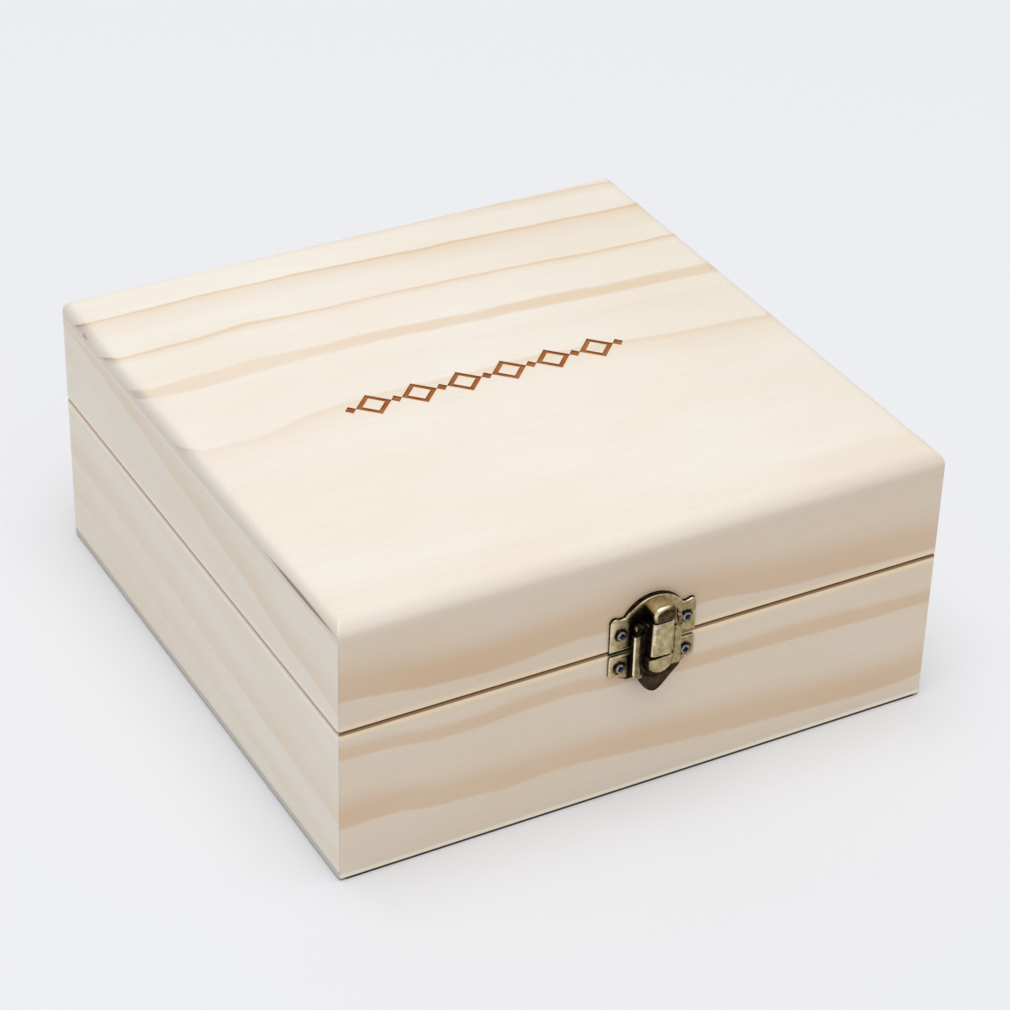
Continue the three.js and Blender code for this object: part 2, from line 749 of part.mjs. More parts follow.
function hasp() {
  const back = plateFront + sheetGap;
  const slotFoot = pivotHeight - ridgeFoot + ridgeLipLength;
  const ridgeFront = plateFront + ridgeFootDepth;
  const slot = rectangle(-ridgeFront - overrun, slotDepth - ridgeFront, slotFoot, slotFoot + slotHeight);
  const hollowHalf = ridgeHalfWidth - ridgeWall;
  const pinBore = disc(-pivotDepth, pivotHeight, latchPinRadius + pinFit);
  const sheet = join(
    alongY(haspOutline(), -back - sheetThickness, -back),
    alongX(ridgeOutside(), -ridgeHalfWidth, ridgeHalfWidth),
  );
  const body = sheet
    .add(haspRim(-haspHalfWidth, -rimInner))
    .add(haspRim(rimInner, haspHalfWidth))
    .add(haspArm(-armOuter, -rimInner))
    .add(haspArm(rimInner, armOuter));
  return cut(body, [
    alongX(ridgeInside(), -hollowHalf, hollowHalf),
    alongX(slot, -ridgeHalfWidth - overrun, hollowHalf),
    alongX(pinBore, -haspHalfWidth - overrun, haspHalfWidth + overrun),
  ]);
}

function latchPin() {
  const end = armOuter + swingGap / 2;
  return join(
    alongX(disc(-pivotDepth, pivotHeight, latchPinRadius), -end, end),
    alongX(disc(-pivotDepth, pivotHeight, latchPinHeadRadius), -end - latchPinHead, -end),
    alongX(disc(-pivotDepth, pivotHeight, latchPinHeadRadius), end, end + latchPinHead),
  );
}

function latch() {
  const group = new THREE.Group();
  group.position.set(0, -boxDepth / 2, seamMiddle);
  group.add(
    piece("latch_upper_plate", upperPlate(), agedBrass),
    piece("latch_lower_plate", lowerPlate(), agedBrass),
    piece("latch_hasp", hasp(), agedBrass),
    piece("latch_pin", latchPin(), agedBrass),
  );
  return group;
}

function latchScrews() {
  const hands = ["left", "right"];
  return [
    ...latchLidScrews.map((place, i) => screw(`latch_upper_screw_${hands[i]}`, place)),
    ...latchBaseScrews.map((place, i) => screw(`latch_lower_screw_${hands[i]}`, place)),
  ];
}

const box = new THREE.Group();
box.add(
  ...baseBoards(),
  bottomPanel(),
  ...dividers(),
  ...lidBoards(),
  lidPanel(),
  ...hinges.map(hinge),
  ...hinges.flatMap(hingeScrews),
  latch(),
  ...latchScrews(),
);

export default box;
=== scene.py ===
from math import acos, cos, degrees, hypot, pi, radians, sin, sqrt, tan

import bmesh
import bpy
from mathutils import Matrix, Vector, geometry


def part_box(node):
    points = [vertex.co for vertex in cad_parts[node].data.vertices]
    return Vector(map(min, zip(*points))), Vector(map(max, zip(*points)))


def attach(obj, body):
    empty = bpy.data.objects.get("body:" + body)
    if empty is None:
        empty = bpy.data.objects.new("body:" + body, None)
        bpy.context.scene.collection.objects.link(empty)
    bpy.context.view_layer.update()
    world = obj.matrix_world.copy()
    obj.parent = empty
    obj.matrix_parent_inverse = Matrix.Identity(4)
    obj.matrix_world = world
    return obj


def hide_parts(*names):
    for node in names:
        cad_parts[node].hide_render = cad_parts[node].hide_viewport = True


# A square pine box with a hinged lid, a compartment grid and an aged brass hasp latch.
# Places are in millimetres in the frame's axes and go into the meshes in metres.
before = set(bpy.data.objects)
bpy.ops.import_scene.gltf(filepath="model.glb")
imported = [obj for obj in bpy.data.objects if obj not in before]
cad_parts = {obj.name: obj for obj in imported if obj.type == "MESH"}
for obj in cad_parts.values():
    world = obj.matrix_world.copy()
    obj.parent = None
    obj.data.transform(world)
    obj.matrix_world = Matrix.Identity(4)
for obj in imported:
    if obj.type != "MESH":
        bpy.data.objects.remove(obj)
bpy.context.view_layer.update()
MM = 0.001


def limits(node):
    low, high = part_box(node)
    return low / MM, high / MM


def middle(node):
    return sum(limits(node), Vector()) / 2


base_low, base_high = limits("base_front_board")
lid_low = limits("lid_front_board")[0]
panel_low, panel_high = limits("lid_top_panel")
bottom_low, bottom_high = limits("base_bottom_panel")
upper_low, upper_high = limits("latch_upper_plate")
lower_low, lower_high = limits("latch_lower_plate")
hasp_low, hasp_high = limits("latch_hasp")
PIVOT = middle("latch_pin")

# Box
HALF = panel_high.x
WALL = base_high.y - base_low.y
SEAM = (base_high.z + lid_low.z) / 2
TOP = panel_high.z
LID_ROUND = 6
LEFT_ROUND = 4.6
CORNER = 1
SETBACK = 0.035
FACE = -HALF

# Engraved band
ORNAMENT_X, ORNAMENT_Y = -2, -2
PITCH, TALL, STROKE, DEPTH = 14.6, 11.5, 1.5, 0.4
OPEN_COUNT = 6
WIDE_SHARE, STUD_WIDE_SHARE, STUD_TALL_SHARE = 0.78, 0.24, 0.34

# Colours of the boards and of the dark part of a ring, as shares of the pale part
LID_PALE = (0.896, 0.845, 0.769)
FRONT_PALE = (0.832, 0.714, 0.592)
FRONT_BASE_PALE = (0.85, 0.74, 0.618)
LEFT_PALE = (0.925, 0.866, 0.783)
STRIP_PALE = (0.76, 0.655, 0.5)
LATE_SHARE = (0.83, 0.58, 0.34)
END_LATE = (0.33, 0.2, 0.115)
# The painted highlight along the front foot
FOOT_HIGHLIGHT = (1, 0.93, 0.8)


def sum_of(operation):
    """A sign or a call for one math node."""
    return lambda value, other=0: value.shader.math(operation, value, other)


class Value:
    """An output of a node, with signs for sums."""

    def __init__(self, shader, socket):
        self.shader, self.socket = shader, socket

    __add__ = sum_of("ADD")
    __sub__ = sum_of("SUBTRACT")
    __mul__ = sum_of("MULTIPLY")
    __truediv__ = sum_of("DIVIDE")
    __pow__ = sum_of("POWER")
    __abs__ = sum_of("ABSOLUTE")
    at_most = sum_of("MINIMUM")
    at_least = sum_of("MAXIMUM")
    below = sum_of("LESS_THAN")

    def __rsub__(self, other):
        return self.shader.math("SUBTRACT", other, self)

    def span(self, low, high, to_low=0, to_high=1, kind="LINEAR"):
        ends = {0: self, 1: low, 2: high, 3: to_low, 4: to_high}
        return self.shader.value(self.shader.add("MapRange", ends, interpolation_type=kind))

    def ease(self, *ends):
        return self.span(*ends, kind="SMOOTHSTEP")


class Shader:
    """A material with short calls for its nodes."""

    def __init__(self, name):
        self.material = bpy.data.materials.new(name)
        self.material.use_nodes = True
        self.tree = self.material.node_tree
        self.surface = self.tree.nodes["Principled BSDF"]
        # The object's own place in millimetres
        where = self.value(self.add("TexCoord"), "Object")
        self.place = self.value(self.add("VectorMath", {0: where, 3: 1 / MM}, operation="SCALE"))

    def add(self, kind, inputs=(), **settings):
        made = self.tree.nodes.new("ShaderNode" + kind)
        for key, value in settings.items():
            setattr(made, key, value)
        for key, value in dict(inputs).items():
            self.put(made.inputs[key], value)
        return made

    def value(self, node, output=0):
        return Value(self, node.outputs[output])

    def put(self, socket, value):
        if isinstance(value, Value):
            self.tree.links.new(value.socket, socket)
        elif isinstance(value, tuple) and len(value) == 3 and len(socket.default_value) == 4:
            socket.default_value = (*value, 1)
        else:
            socket.default_value = value

    def math(self, operation, a, b=0):
        return self.value(self.add("Math", {0: a, 1: b}, operation=operation))

    def mix(self, factor, a, b, blend="MIX"):
        ends = {0: factor, 6: a, 7: b}
        return self.value(self.add("Mix", ends, data_type="RGBA", blend_type=blend), 2)

    def tint(self, factor, colour, share):
        return self.mix(factor, colour, share, "MULTIPLY")

    def curve(self, value, points):
        """The smooth line through (where, value) pairs."""
        low, high = points[0][0], points[-1][0]
        values = [v for _, v in points]
        bottom, top = min(values) - 0.5, max(values) + 0.5
        made = self.add("FloatCurve", {"Value": value.span(low, high)})
        line = made.mapping.curves[0]
        while len(line.points) < len(points):
            line.points.new(0.5, 0.5)
        for point, (where, v) in zip(line.points, points):
            point.location = ((where - low) / (high - low), (v - bottom) / (top - bottom))
        made.mapping.update()
        return self.value(made).span(0, 1, bottom, top)

    def ramp(self, value, stops):
        """An amount or a colour from (where, amount) stops in rising order."""
        low, high = stops[0][0], stops[-1][0]
        made = self.add("ValToRGB", {"Fac": value.span(low, high)})
        elements = made.color_ramp.elements
        while len(elements) < len(stops):
            elements.new(0.5)
        for element, (where, amount) in zip(elements, stops):
            element.position = (where - low) / (high - low)
            colour = amount if isinstance(amount, tuple) else (amount,) * 3
            element.color = (*colour, 1)
        return self.value(made, "Color")

    def facing(self):
        return self.parts(self.value(self.add("TexCoord"), "Normal"))

    def parts(self, vector):
        split = self.add("SeparateXYZ", {0: vector})
        return [self.value(split, i) for i in (0, 1, 2)]

    def noise(self, size, detail, roughness, shift=(0, 0, 0)):
        """Soft noise round 0.5; size is that of a feature along x, y and z."""
        stretched = self.add("Mapping", {"Vector": self.place, "Location": shift,
                                         "Scale": tuple(1 / s for s in size)})
        return self.value(self.add("TexNoise", {"Vector": self.value(stretched), "Scale": 1,
                                                "Detail": detail, "Roughness": roughness}))

    def rough(self, value, low, high):
        self.put(self.surface.inputs["Roughness"], value.span(0.25, 0.75, low, high))

    def bump(self, height, strength, distance):
        made = self.add("Bump", {"Strength": strength, "Distance": distance * MM, "Height": height})
        self.put(self.surface.inputs["Normal"], self.value(made))

    def colour(self, value, specular=None, metallic=0):
        self.put(self.surface.inputs["Base Color"], value)
        self.surface.inputs["Metallic"].default_value = metallic
        if specular is not None:
            self.surface.inputs["Specular IOR Level"].default_value = specular


def scaled(colour, share):
    return tuple(c * s for c, s in zip(colour, share))


def pine(name, along, pale, rings, seed, tone_and_light=None, end_share=1.5):
    """Planed pine. rings(shader, x, y, z, wobble) gives how dark the growth rings are there."""
    s = Shader(name)
    x, y, z = s.parts(s.place)
    shift = (seed, seed * 0.7, seed * 1.3)

    def drawn_out(long, wide, detail, roughness, shift=shift):
        """Noise whose features lie along the grain."""
        size = (long, wide, wide) if along == "x" else (wide, long, wide)
        return s.noise(size, detail, roughness, shift)

    late = rings(s, x, y, z, drawn_out(36, 14, 2, 0.5) - 0.5)
    late = late * drawn_out(60, 22, 1, 0.5).span(0.3, 0.7, 0.8, 1.12)
    fibre = drawn_out(26, 0.75, 4, 0.65)
    fine = drawn_out(7, 0.22, 3, 0.6)
    cloud = drawn_out(60, 24, 2, 0.5, (seed + 5, 2, 9))
    base = s.mix(cloud.span(0.3, 0.7), pale, scaled(pale, (0.985, 0.955, 0.915)))
    soft = late * fibre.span(0.25, 0.75, 0.84, 1.14)
    colour = s.mix(soft.at_most(1), base, scaled(pale, LATE_SHARE))
    # A face across the fibres shows the ends of the rings, darker than their sides.
    normal = s.facing()
    across = abs(normal[0 if along == "x" else 1]).ease(0.45, 0.95)
    pores = s.noise((0.5, 0.5, 0.5), 3, 0.6, shift)
    end = s.mix((late * end_share).at_most(1), scaled(pale, (0.88, 0.86, 0.85)), END_LATE)
    end = s.mix(pores.span(0.35, 0.75, 0, 0.14), end, scaled(pale, (0.7, 0.6, 0.5)))
    colour = s.mix(across, colour, end)
    # Short resin flecks and the fine lines of the fibres.
    fleck = drawn_out(3.2, 0.45, 1, 0.4, (seed + 31, 7, 3))
    colour = s.mix(fleck.span(0.7, 0.78, 0, 0.3), colour, scaled(pale, (0.78, 0.62, 0.45)))
    grey = fibre.span(0.25, 0.75, 0.972, 1.022) + fine.span(0.3, 0.7, -0.014, 0.014)
    lines = s.value(s.add("CombineColor", {0: grey, 1: grey, 2: grey}))
    colour = s.tint(1, colour, lines)
    if tone_and_light:
        colour = tone_and_light(s, x, y, z, colour)
    s.colour(colour, 0.3)
    s.rough(fibre, 0.5, 0.64)
    s.bump(fibre * 0.7 + fine * 0.5 + late * 0.25, 0.2, 0.1)
    return s.material


def lid_rings(s, x, y, z, wobble):
    """Rings of the lid panel round a pith below its front half; sharp behind, fading in front."""
    drift = s.curve(x, [(-95, 0), (-60, 0), (0, -2.7), (45, -4.7), (95, -7)])
    hump = s.curve(x, [(-95, 0), (-80, 0), (-60, 5), (-42, 8.6), (0, 10), (45, 7.2), (60, 5), (95, 3.5)])
    hump = hump * s.math("EXPONENT", (y + 3.5) / -28).at_most(1.3)
    lift = ((y + 72) - (drift + hump) + wobble * 5).at_least(0)
    height = lift ** 2 / 480 + (z - TOP)
    # The front rings fade towards the left end.
    fade = height.span(29, 25) * x.span(40, -70, 0, 0.38)
    bands = s.ramp(height, LID_RINGS) * (1 - fade)
    return bands + s.ramp(height, FAINT_RINGS) * x.span(-20, 70, 0.25, 1)


LID_RINGS = [
    (5.8, 0), (8.2, 0.16), (9.5, 0.4), (9.9, 0),
    (20.4, 0), (20.9, 0.46), (22.2, 0.5), (23, 0.44), (23.5, 0),
    (31.2, 0), (32.5, 0.2), (33.3, 0.62), (33.75, 0),
    (38.5, 0), (43.5, 0.2), (45.6, 0.36), (46.3, 0.78), (46.9, 0),
    (54.5, 0), (57.5, 0.3), (58.3, 0.48), (58.9, 0),
]
FAINT_RINGS = [(-6, 0), (-2, 0.05), (0.3, 0), (14, 0), (17, 0.07), (17.5, 0)]


def rising_band(foot, full, fade, strength):
    """A streak as stops: sharp at its foot, full for a while, then fading upwards."""
    return [(foot - 0.5, 0), (foot + 0.5, strength), (foot + full, strength * 0.92),
            (foot + full + fade * 0.5, strength * 0.35), (foot + full + fade, 0)]


def side_rings(along, line, stops, spread=None):
    """Streaks of a side board, which follow one line along it; spread widens them in places."""
    usual, waver = 25, 2.2

    def rings(s, x, y, z, wobble):
        run = x if along == "x" else y
        height = z - s.curve(run, line)
        if spread:
            height = height * usual / s.curve(run, spread)
        return s.ramp(height + wobble * waver, stops)

    return rings


RIGHT_LINE = [(-95, 33), (-60, 36), (-20, 35), (25, 38), (60, 37), (95, 40)]
BACK_LINE = [(-95, 30), (-50, 33.5), (0, 32), (40, 35), (70, 34), (95, 36)]
OTHER_BANDS = rising_band(-26, 3, 6, 0.44) + rising_band(-2, 2, 4, 0.36) + rising_band(19, 4, 7, 0.42)

# The painted shade at the seam with its strength and the painted highlight beside it, along x and along y
EDGE_TONES = {"x": ((0.19, 0.075, 0.017), 0.85, (1, 0.81, 0.57)),
              "y": ((0.5, 0.24, 0.09), 0.55, (1, 0.935, 0.83))}
# The painted contact shadow at the front foot
FOOT_SHADE = (0.19, 0.12, 0.07)
# The painted shadow beneath the upper plate
UPPER_PLATE_SHADOW = (0.015, 0.01, 0.006)


def painted_edge_light(kind, side, pale):
    """Painted light on the outer skin of a side's edges: a line of painted shade at the seam between two
    painted highlights, at the foot a painted highlight over a painted contact shadow, or a grey painted
    contact shadow on the left and right sides, and a painted shadow beneath the upper plate."""
    seam_shade, strong, painted_highlight = EDGE_TONES[side]

    def tone_and_light(s, x, y, z, colour):
        skin = abs(y if side == "x" else x).span(HALF - 2, HALF - 1.2)

        def line(colour, start, full, share, tone):
            return s.mix(z.ease(start, full) * skin * share, colour, tone)

        if kind == "lid":
            # The top of the board and the panel's edge above it have one even tone.
            even = z.ease(panel_low.z - 2.4, panel_low.z + 0.3, 0, 0.8)
            # Above the seam a painted highlight, and at the seam a line of painted shade.
            colour = line(s.mix(even, colour, pale), SEAM + 2.5, SEAM + 1.2, 0.7, painted_highlight)
            return line(colour, SEAM + 0.6, SEAM + 0.2, 0.5 * strong, seam_shade)
        # Below the seam a painted highlight, and at the seam a line of painted shade.
        colour = line(colour, SEAM - 2.9, SEAM - 1.5, 0.95, painted_highlight)
        colour = line(colour, SEAM - 1.1, SEAM - 0.6, strong, seam_shade)
        # At the foot the left and right sides get a grey painted contact shadow, the front and back a
        # painted highlight over a painted contact shadow.
        if side == "y":
            return line(colour, 2.9, 1.9, 0.9, scaled(pale, (0.67, 0.66, 0.67)))
        colour = line(colour, 2, 1.1, 1, FOOT_HIGHLIGHT)
        colour = line(colour, 0.4, 0.25, 0.95, FOOT_SHADE)
        # A painted shadow under the left half of the upper plate, on the outer skin of the front board only.
        plate_shadow_mask = z.span(SEAM - 1.35, SEAM - 1.05) * y.span(1.9 - HALF, 1.2 - HALF)
        return s.mix(plate_shadow_mask * x.span(-4, -5) * x.span(-13.8, -13.4), colour, UPPER_PLATE_SHADOW)

    return tone_and_light


def lid_tone_and_light(s, x, y, z, colour):
    """The tones of the lid panel's edges, with a painted highlight on the left rounding, their two marks,
    the burn round the engraving, and painted shade to the right and back.
    """
    from_left, from_front, depth = x + HALF, y + HALF, TOP - z
    # It is warmer along the front, and where the left edge is rounded it is paler, a painted highlight.
    colour = s.tint(from_front.ease(19, 9), colour, (0.985, 0.965, 0.935))
    leftwards = (y - x).span(-0.4, 0.4)
    colour = s.tint(from_left.ease(3, 1.2) * leftwards, colour, (1.07, 1.075, 1.08))
    # Below the rounded edges it has the tones of the boards under it.
    front = depth.ease(3.1, 5.3) * from_front.span(5, 2.5) * (1 - leftwards)
    left = depth.ease(3.8, 5.2) * from_left.span(5, 2.5) * leftwards
    colour = s.mix(front, colour, FRONT_PALE)
    colour = s.mix(left * 0.9, colour, scaled(LEFT_PALE, (0.88, 0.87, 0.86)))
    # A resin lens on the left edge near the front, and a dark fleck at the back.
    lens_place, lens_half, lens_tall = 22, 21, 0.75
    half = (1 - ((from_front - lens_place) / lens_half) ** 2) * lens_tall
    lens = (abs(depth - 4.4) - half).span(0.25, -0.35) * from_left.span(4, 3, 0, 0.8)
    colour = s.mix(lens * leftwards, colour, (0.27, 0.11, 0.06))
    away = ((from_front - 171.5) / 2.4) ** 2 + ((depth - 4.2) / 0.9) ** 2
    fleck = away.span(1, 0) * from_left.span(4, 3, 0, 0.6)
    colour = s.mix(fleck, colour, (0.27, 0.15, 0.1))
    # The engraving is scorched all round.
    sideways = x - ORNAMENT_X
    step = s.math("PINGPONG", sideways, PITCH / 2) - PITCH / 2
    across = abs(step) / (PITCH * WIDE_SHARE / 2) + abs(y - ORNAMENT_Y) / (TALL / 2)
    end = OPEN_COUNT * PITCH / 2
    inside = abs(sideways).span(end + 0.2, end - 0.8) * depth.span(1.5, 1)
    halo = inside * abs(across - 0.86).ease(0.34, 0.1, 0, 0.16)
    colour = s.mix(halo, colour, (0.56, 0.33, 0.15))
    # The whole panel gets a little darker and warmer to the right and the back: painted shade, as from a
    # light on the left.
    return s.tint((x + y * 0.3).ease(-10, 100), colour, (0.95, 0.945, 0.92))


def strip_pine(name, along, seed):
    """The thin wood of the compartment strips and of the bottom."""
    stops = [(-60, 0), (-30, 0.16), (-24, 0), (-5, 0.12), (3, 0.26), (6, 0), (30, 0.2), (36, 0)]

    def rings(s, x, y, z, wobble):
        across = (y if along == "x" else x) + z
        return s.ramp(across + wobble * 30, stops)

    return pine(name, along, STRIP_PALE, rings, seed)


lid_pine = pine("pine_lid_panel", "x", LID_PALE, lid_rings, 7, lid_tone_and_light, 1.15)

# Each side board's name, the way it runs, its colour, the seed of its noise, the line that its
# streaks follow, the streaks, and how they spread if they do
SIDE_BOARDS = [
    ("lid_front", "x", FRONT_PALE, 3,
     [(-95, 59.5), (-80, 58), (-60, 55.5), (-50, 55.3), (-20, 57), (20, 56.5), (30, 55.2), (50, 53.5),
      (70, 52.5), (95, 51.3)],
     rising_band(0, 6.5, 9, 0.5) + rising_band(24, 1, 3, 0.05)),
    ("base_front", "x", FRONT_BASE_PALE, 13,
     [(-95, 40.5), (-80, 40), (-57, 37.5), (-28, 39), (-15, 38), (20, 35.5), (35, 35.3), (60, 34), (75, 33),
      (95, 32.8)],
     rising_band(-25, 5.5, 8, 0.5) + rising_band(0, 3.6, 2.6, 0.46),
     [(-95, 23), (-60, 22.5), (-40, 25), (0, 25), (30, 26), (60, 27), (95, 25)]),
    ("lid_left", "y", LEFT_PALE, 17,
     [(-95, 55), (-80, 57), (-60, 59), (-40, 62.5), (0, 67), (20, 69), (40, 71.5), (60, 73), (95, 75.5)],
     rising_band(-9, 1, 5, 0.06) + rising_band(0, 4, 8, 0.24)),
    ("base_left", "y", LEFT_PALE, 19,
     [(-95, 19), (-60, 21), (-20, 24), (0, 25.5), (30, 27.5), (50, 29), (80, 29.5), (95, 29.6)],
     rising_band(-14, 3, 5, 0.12) + rising_band(0, 4, 8, 0.2) + rising_band(16, 1, 6, 0.06)),
    ("lid_right", "y", LEFT_PALE, 29, RIGHT_LINE, OTHER_BANDS),
    ("base_right", "y", LEFT_PALE, 31, RIGHT_LINE, OTHER_BANDS),
    ("lid_back", "x", FRONT_PALE, 41, BACK_LINE, OTHER_BANDS),
    ("base_back", "x", FRONT_PALE, 43, BACK_LINE, OTHER_BANDS),
]
BOARD_PINE = {}
for side_name, run, side_pale, seed, *streaks in SIDE_BOARDS:
    edges = painted_edge_light(side_name.split("_")[0], run, side_pale)
    BOARD_PINE[side_name] = pine("pine_" + side_name, run, side_pale, side_rings(run, *streaks), seed, edges)
strip_x = strip_pine("strip_wood_x", "x", 11)
strip_y = strip_pine("strip_wood_y", "y", 23)


def burnt():
    """The scorched floor and sides of the engraving."""
    s = Shader("burnt_pine")
    spots = s.noise((1.6, 0.6, 0.6), 4, 0.65)
    patches = s.noise((9, 5, 5), 2, 0.5)
    colour = s.mix(spots.span(0.3, 0.75), (0.43, 0.14, 0.03), (0.27, 0.075, 0.016))
    colour = s.mix(patches.span(0.4, 0.65, 0, 0.45), colour, (0.52, 0.22, 0.07))
    s.colour(colour, 0.2)
    s.rough(spots, 0.62, 0.8)
    s.bump(spots, 0.35, 0.12)
    return s.material


burnt_pine = burnt()

BRASS_TONES = [(0, (0.014, 0.009, 0.006)), (0.2, (0.055, 0.035, 0.017)), (0.42, (0.19, 0.135, 0.066)),
               (0.66, (0.42, 0.335, 0.175)), (0.84, (0.64, 0.55, 0.34)), (1, (0.86, 0.78, 0.56))]


def brass(name, worn_or_lit):
    """Aged brass: near-black brown in the hollows and where shade is painted, pale gold where hands rubbed
    it and where highlights are painted.
    The function passed in takes the shader and gives, from 0 to 1, how rubbed a point is, painted light and
    shade included."""
    s = Shader(name)
    rub = worn_or_lit(s)
    patches = s.noise((1.9, 1.9, 1.9), 4, 0.6)
    specks = s.noise((0.45, 0.45, 0.45), 3, 0.6, (4, 8, 1))
    rub = rub + patches.span(0.3, 0.7, -0.13, 0.13) + specks.span(0.3, 0.7, -0.06, 0.06)
    rub = rub.at_least(0).at_most(1)
    colour = s.ramp(rub, BRASS_TONES)
    # Some of the rubbed places keep a faint copper red.
    warm = s.noise((1.3, 1.3, 1.3), 2, 0.5, (11, 3, 6)).span(0.52, 0.68, 0, 0.35)
    s.colour(s.tint(warm, colour, (1.12, 0.86, 0.74)), metallic=1)
    s.put(s.surface.inputs["Roughness"], rub.span(0, 1, 0.58, 0.33))
    s.bump(patches, 0.25, 0.06)
    return s.material


def lighting_and_rub_by_point(s):
    # The point attribute holds wear together with painted light and shade.
    return s.value(s.add("Attribute", attribute_name="rub"), "Fac")


def facing_tone(s):
    """A hinge is paler on faces that face front or back and darker where its faces turn other ways."""
    return abs(s.facing()[1]).span(0.3, 1, 0.22, 0.58)


latch_brass = brass("aged_brass_latch", lighting_and_rub_by_point)
hinge_brass = brass("aged_brass_hinge", facing_tone)


def steel():
    """Dark screw steel, black in the cross, with a painted highlight ring on the dome of the head."""
    s = Shader("dark_screw_steel")
    x, y, _ = s.parts(s.place)
    patches = s.noise((0.7, 0.7, 0.7), 3, 0.6)
    flat = s.value(s.add("CombineXYZ", {0: x, 1: y}))
    radius = s.value(s.add("VectorMath", {0: flat}, operation="LENGTH"), "Value")
    # A painted highlight ring round the dome of the head, broken up by patches.
    rim = [(0, 0), (0.62, 0), (0.9, 0.38), (1.15, 0.5), (1.35, 0.24), (1.5, 0), (2, 0)]
    painted_highlight = (s.ramp(radius, rim) * patches.span(0.3, 0.7, 0.65, 1.25)).at_most(1)
    s.colour(s.mix(painted_highlight, (0.014, 0.012, 0.014), (0.78, 0.77, 0.8)), metallic=1)
    s.rough(patches, 0.3, 0.46)
    return s.material


screw_steel = steel()


def mesh_of(name, points, faces, materials, slots=None, sharp=35):
    """A mesh from points in millimetres; slots gives the material number of each face."""
    mesh = bpy.data.meshes.new(name)
    mesh.from_pydata([Vector(p) * MM for p in points], [], faces)
    if slots:
        mesh.polygons.foreach_set("material_index", slots)
    made = bmesh.new()
    made.from_mesh(mesh)
    bmesh.ops.remove_doubles(made, verts=made.verts, dist=1e-7)
    bmesh.ops.dissolve_degenerate(made, edges=made.edges, dist=1e-7)
    bmesh.ops.delete(made, geom=[v for v in made.verts if not v.link_faces], context="VERTS")
    bmesh.ops.recalc_face_normals(made, faces=made.faces)
    made.to_mesh(mesh)
    made.free()
    mesh.shade_smooth()
    for material in materials:
        mesh.materials.append(material)
    mesh.set_sharp_from_angle(angle=radians(sharp))
    return mesh


def linked(name, data):
    made = bpy.data.objects.new(name, data)
    bpy.context.scene.collection.objects.link(made)
    return made


def adopt(mesh, body, nodes, even=False, pose=Matrix()):
    """Puts a mesh into the scene as a piece that rides on a body."""
    made = linked(mesh.name, mesh)
    made.matrix_world = pose
    if even:
        made.modifiers.new("even_normals", "WEIGHTED_NORMAL").keep_sharp = True
    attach(made, body)
    if nodes:
        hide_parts(*nodes)
    return made


def carved(mesh, shape):
    """The mesh with a shape cut out of it."""
    body = linked("carved_body", mesh)
    tool = linked("carving_tool", mesh_of("carving_tool", *shape, []))
    cut = body.modifiers.new("cut", "BOOLEAN")
    cut.operation, cut.object, cut.solver = "DIFFERENCE", tool, "EXACT"
    bpy.context.view_layer.update()
    ready = bpy.data.meshes.new_from_object(body.evaluated_get(bpy.context.evaluated_depsgraph_get()))
    name = mesh.name
    for used in (body, tool):
        data = used.data
        bpy.data.objects.remove(used)
        bpy.data.meshes.remove(data)
    ready.name = name
    ready.shade_smooth()
    ready.set_sharp_from_angle(angle=radians(40))
    return ready


def soften(made, width, segments=2, angle=30):
    """Rounds the edges of a piece."""
    edge = made.modifiers.new("soft_edges", "BEVEL")
    edge.width, edge.segments = width * MM, segments
    edge.limit_method, edge.angle_limit = "ANGLE", radians(angle)
    edge.harden_normals = True


def stacked(rings):
    """The faces over the first ring and between rings of equally many points."""
    n = len(rings[0])
    points = [p for ring in rings for p in ring]
    faces = [[i * n + j, i * n + (j + 1) % n, (i + 1) * n + (j + 1) % n, (i + 1) * n + j]
             for i in range(len(rings) - 1) for j in range(n)]
    return points, faces + [list(range(n))[::-1]]


def closed(rings):
    points, faces = stacked(rings)
    return points, faces + [list(range(len(points) - len(rings[0]), len(points)))]


def rectangle(low_u, low_v, high_u, high_v):
    return [(low_u, low_v), (high_u, low_v), (high_u, high_v), (low_u, high_v)]


def prism(outline, low, high, place=lambda u, v, w: (u, v, w)):
    """An outline pushed from low to high; place turns (u, v, push) into x, y and z."""
    return closed([[place(u, v, w) for u, v in outline] for w in (low, high)])


def turned(profile, sides, place=lambda u, v, w: (u, v, w)):
    """A shape turned about its axis, from (radius, along) pairs that start on the axis."""
    turns = [2 * pi * k / sides for k in range(sides)]
    return stacked([[place(radius * cos(a), radius * sin(a), along) for a in turns]
                    for radius, along in profile])


def joined(*parts):
    points, faces = [], []
    for more, rest in parts:
        start = len(points)
        points += more
        faces += [[start + i for i in face] for face in rest]
    return points, faces


def outer_edges(faces):
    """The edges that only one of these faces has."""
    edges = set()
    for face in faces:
        for a, b in zip(face, face[1:] + face[:1]):
            edges.symmetric_difference_update({(a, b)} if (b, a) not in edges else {(b, a)})
    return edges


def fillet(corners, steps=4):
    """A closed outline from (u, v, radius) corners."""
    out = []
    for i, (u, v, radius) in enumerate(corners):
        p = Vector((u, v))
        if radius <= 0:
            out.append((u, v))
            continue
        a = (Vector(corners[i - 1][:2]) - p).normalized()
        b = (Vector(corners[(i + 1) % len(corners)][:2]) - p).normalized()
        half = a.angle(b) / 2
        centre = p + (a + b).normalized() * (radius / sin(half))
        start = p + a * (radius / tan(half)) - centre
        end = p + b * (radius / tan(half)) - centre
        whole = start.angle(end)
        for k in range(steps + 1):
            t = k / steps
            mixed = start * sin((1 - t) * whole) + end * sin(t * whole)
            out.append(tuple(centre + mixed / sin(whole)))
    return out


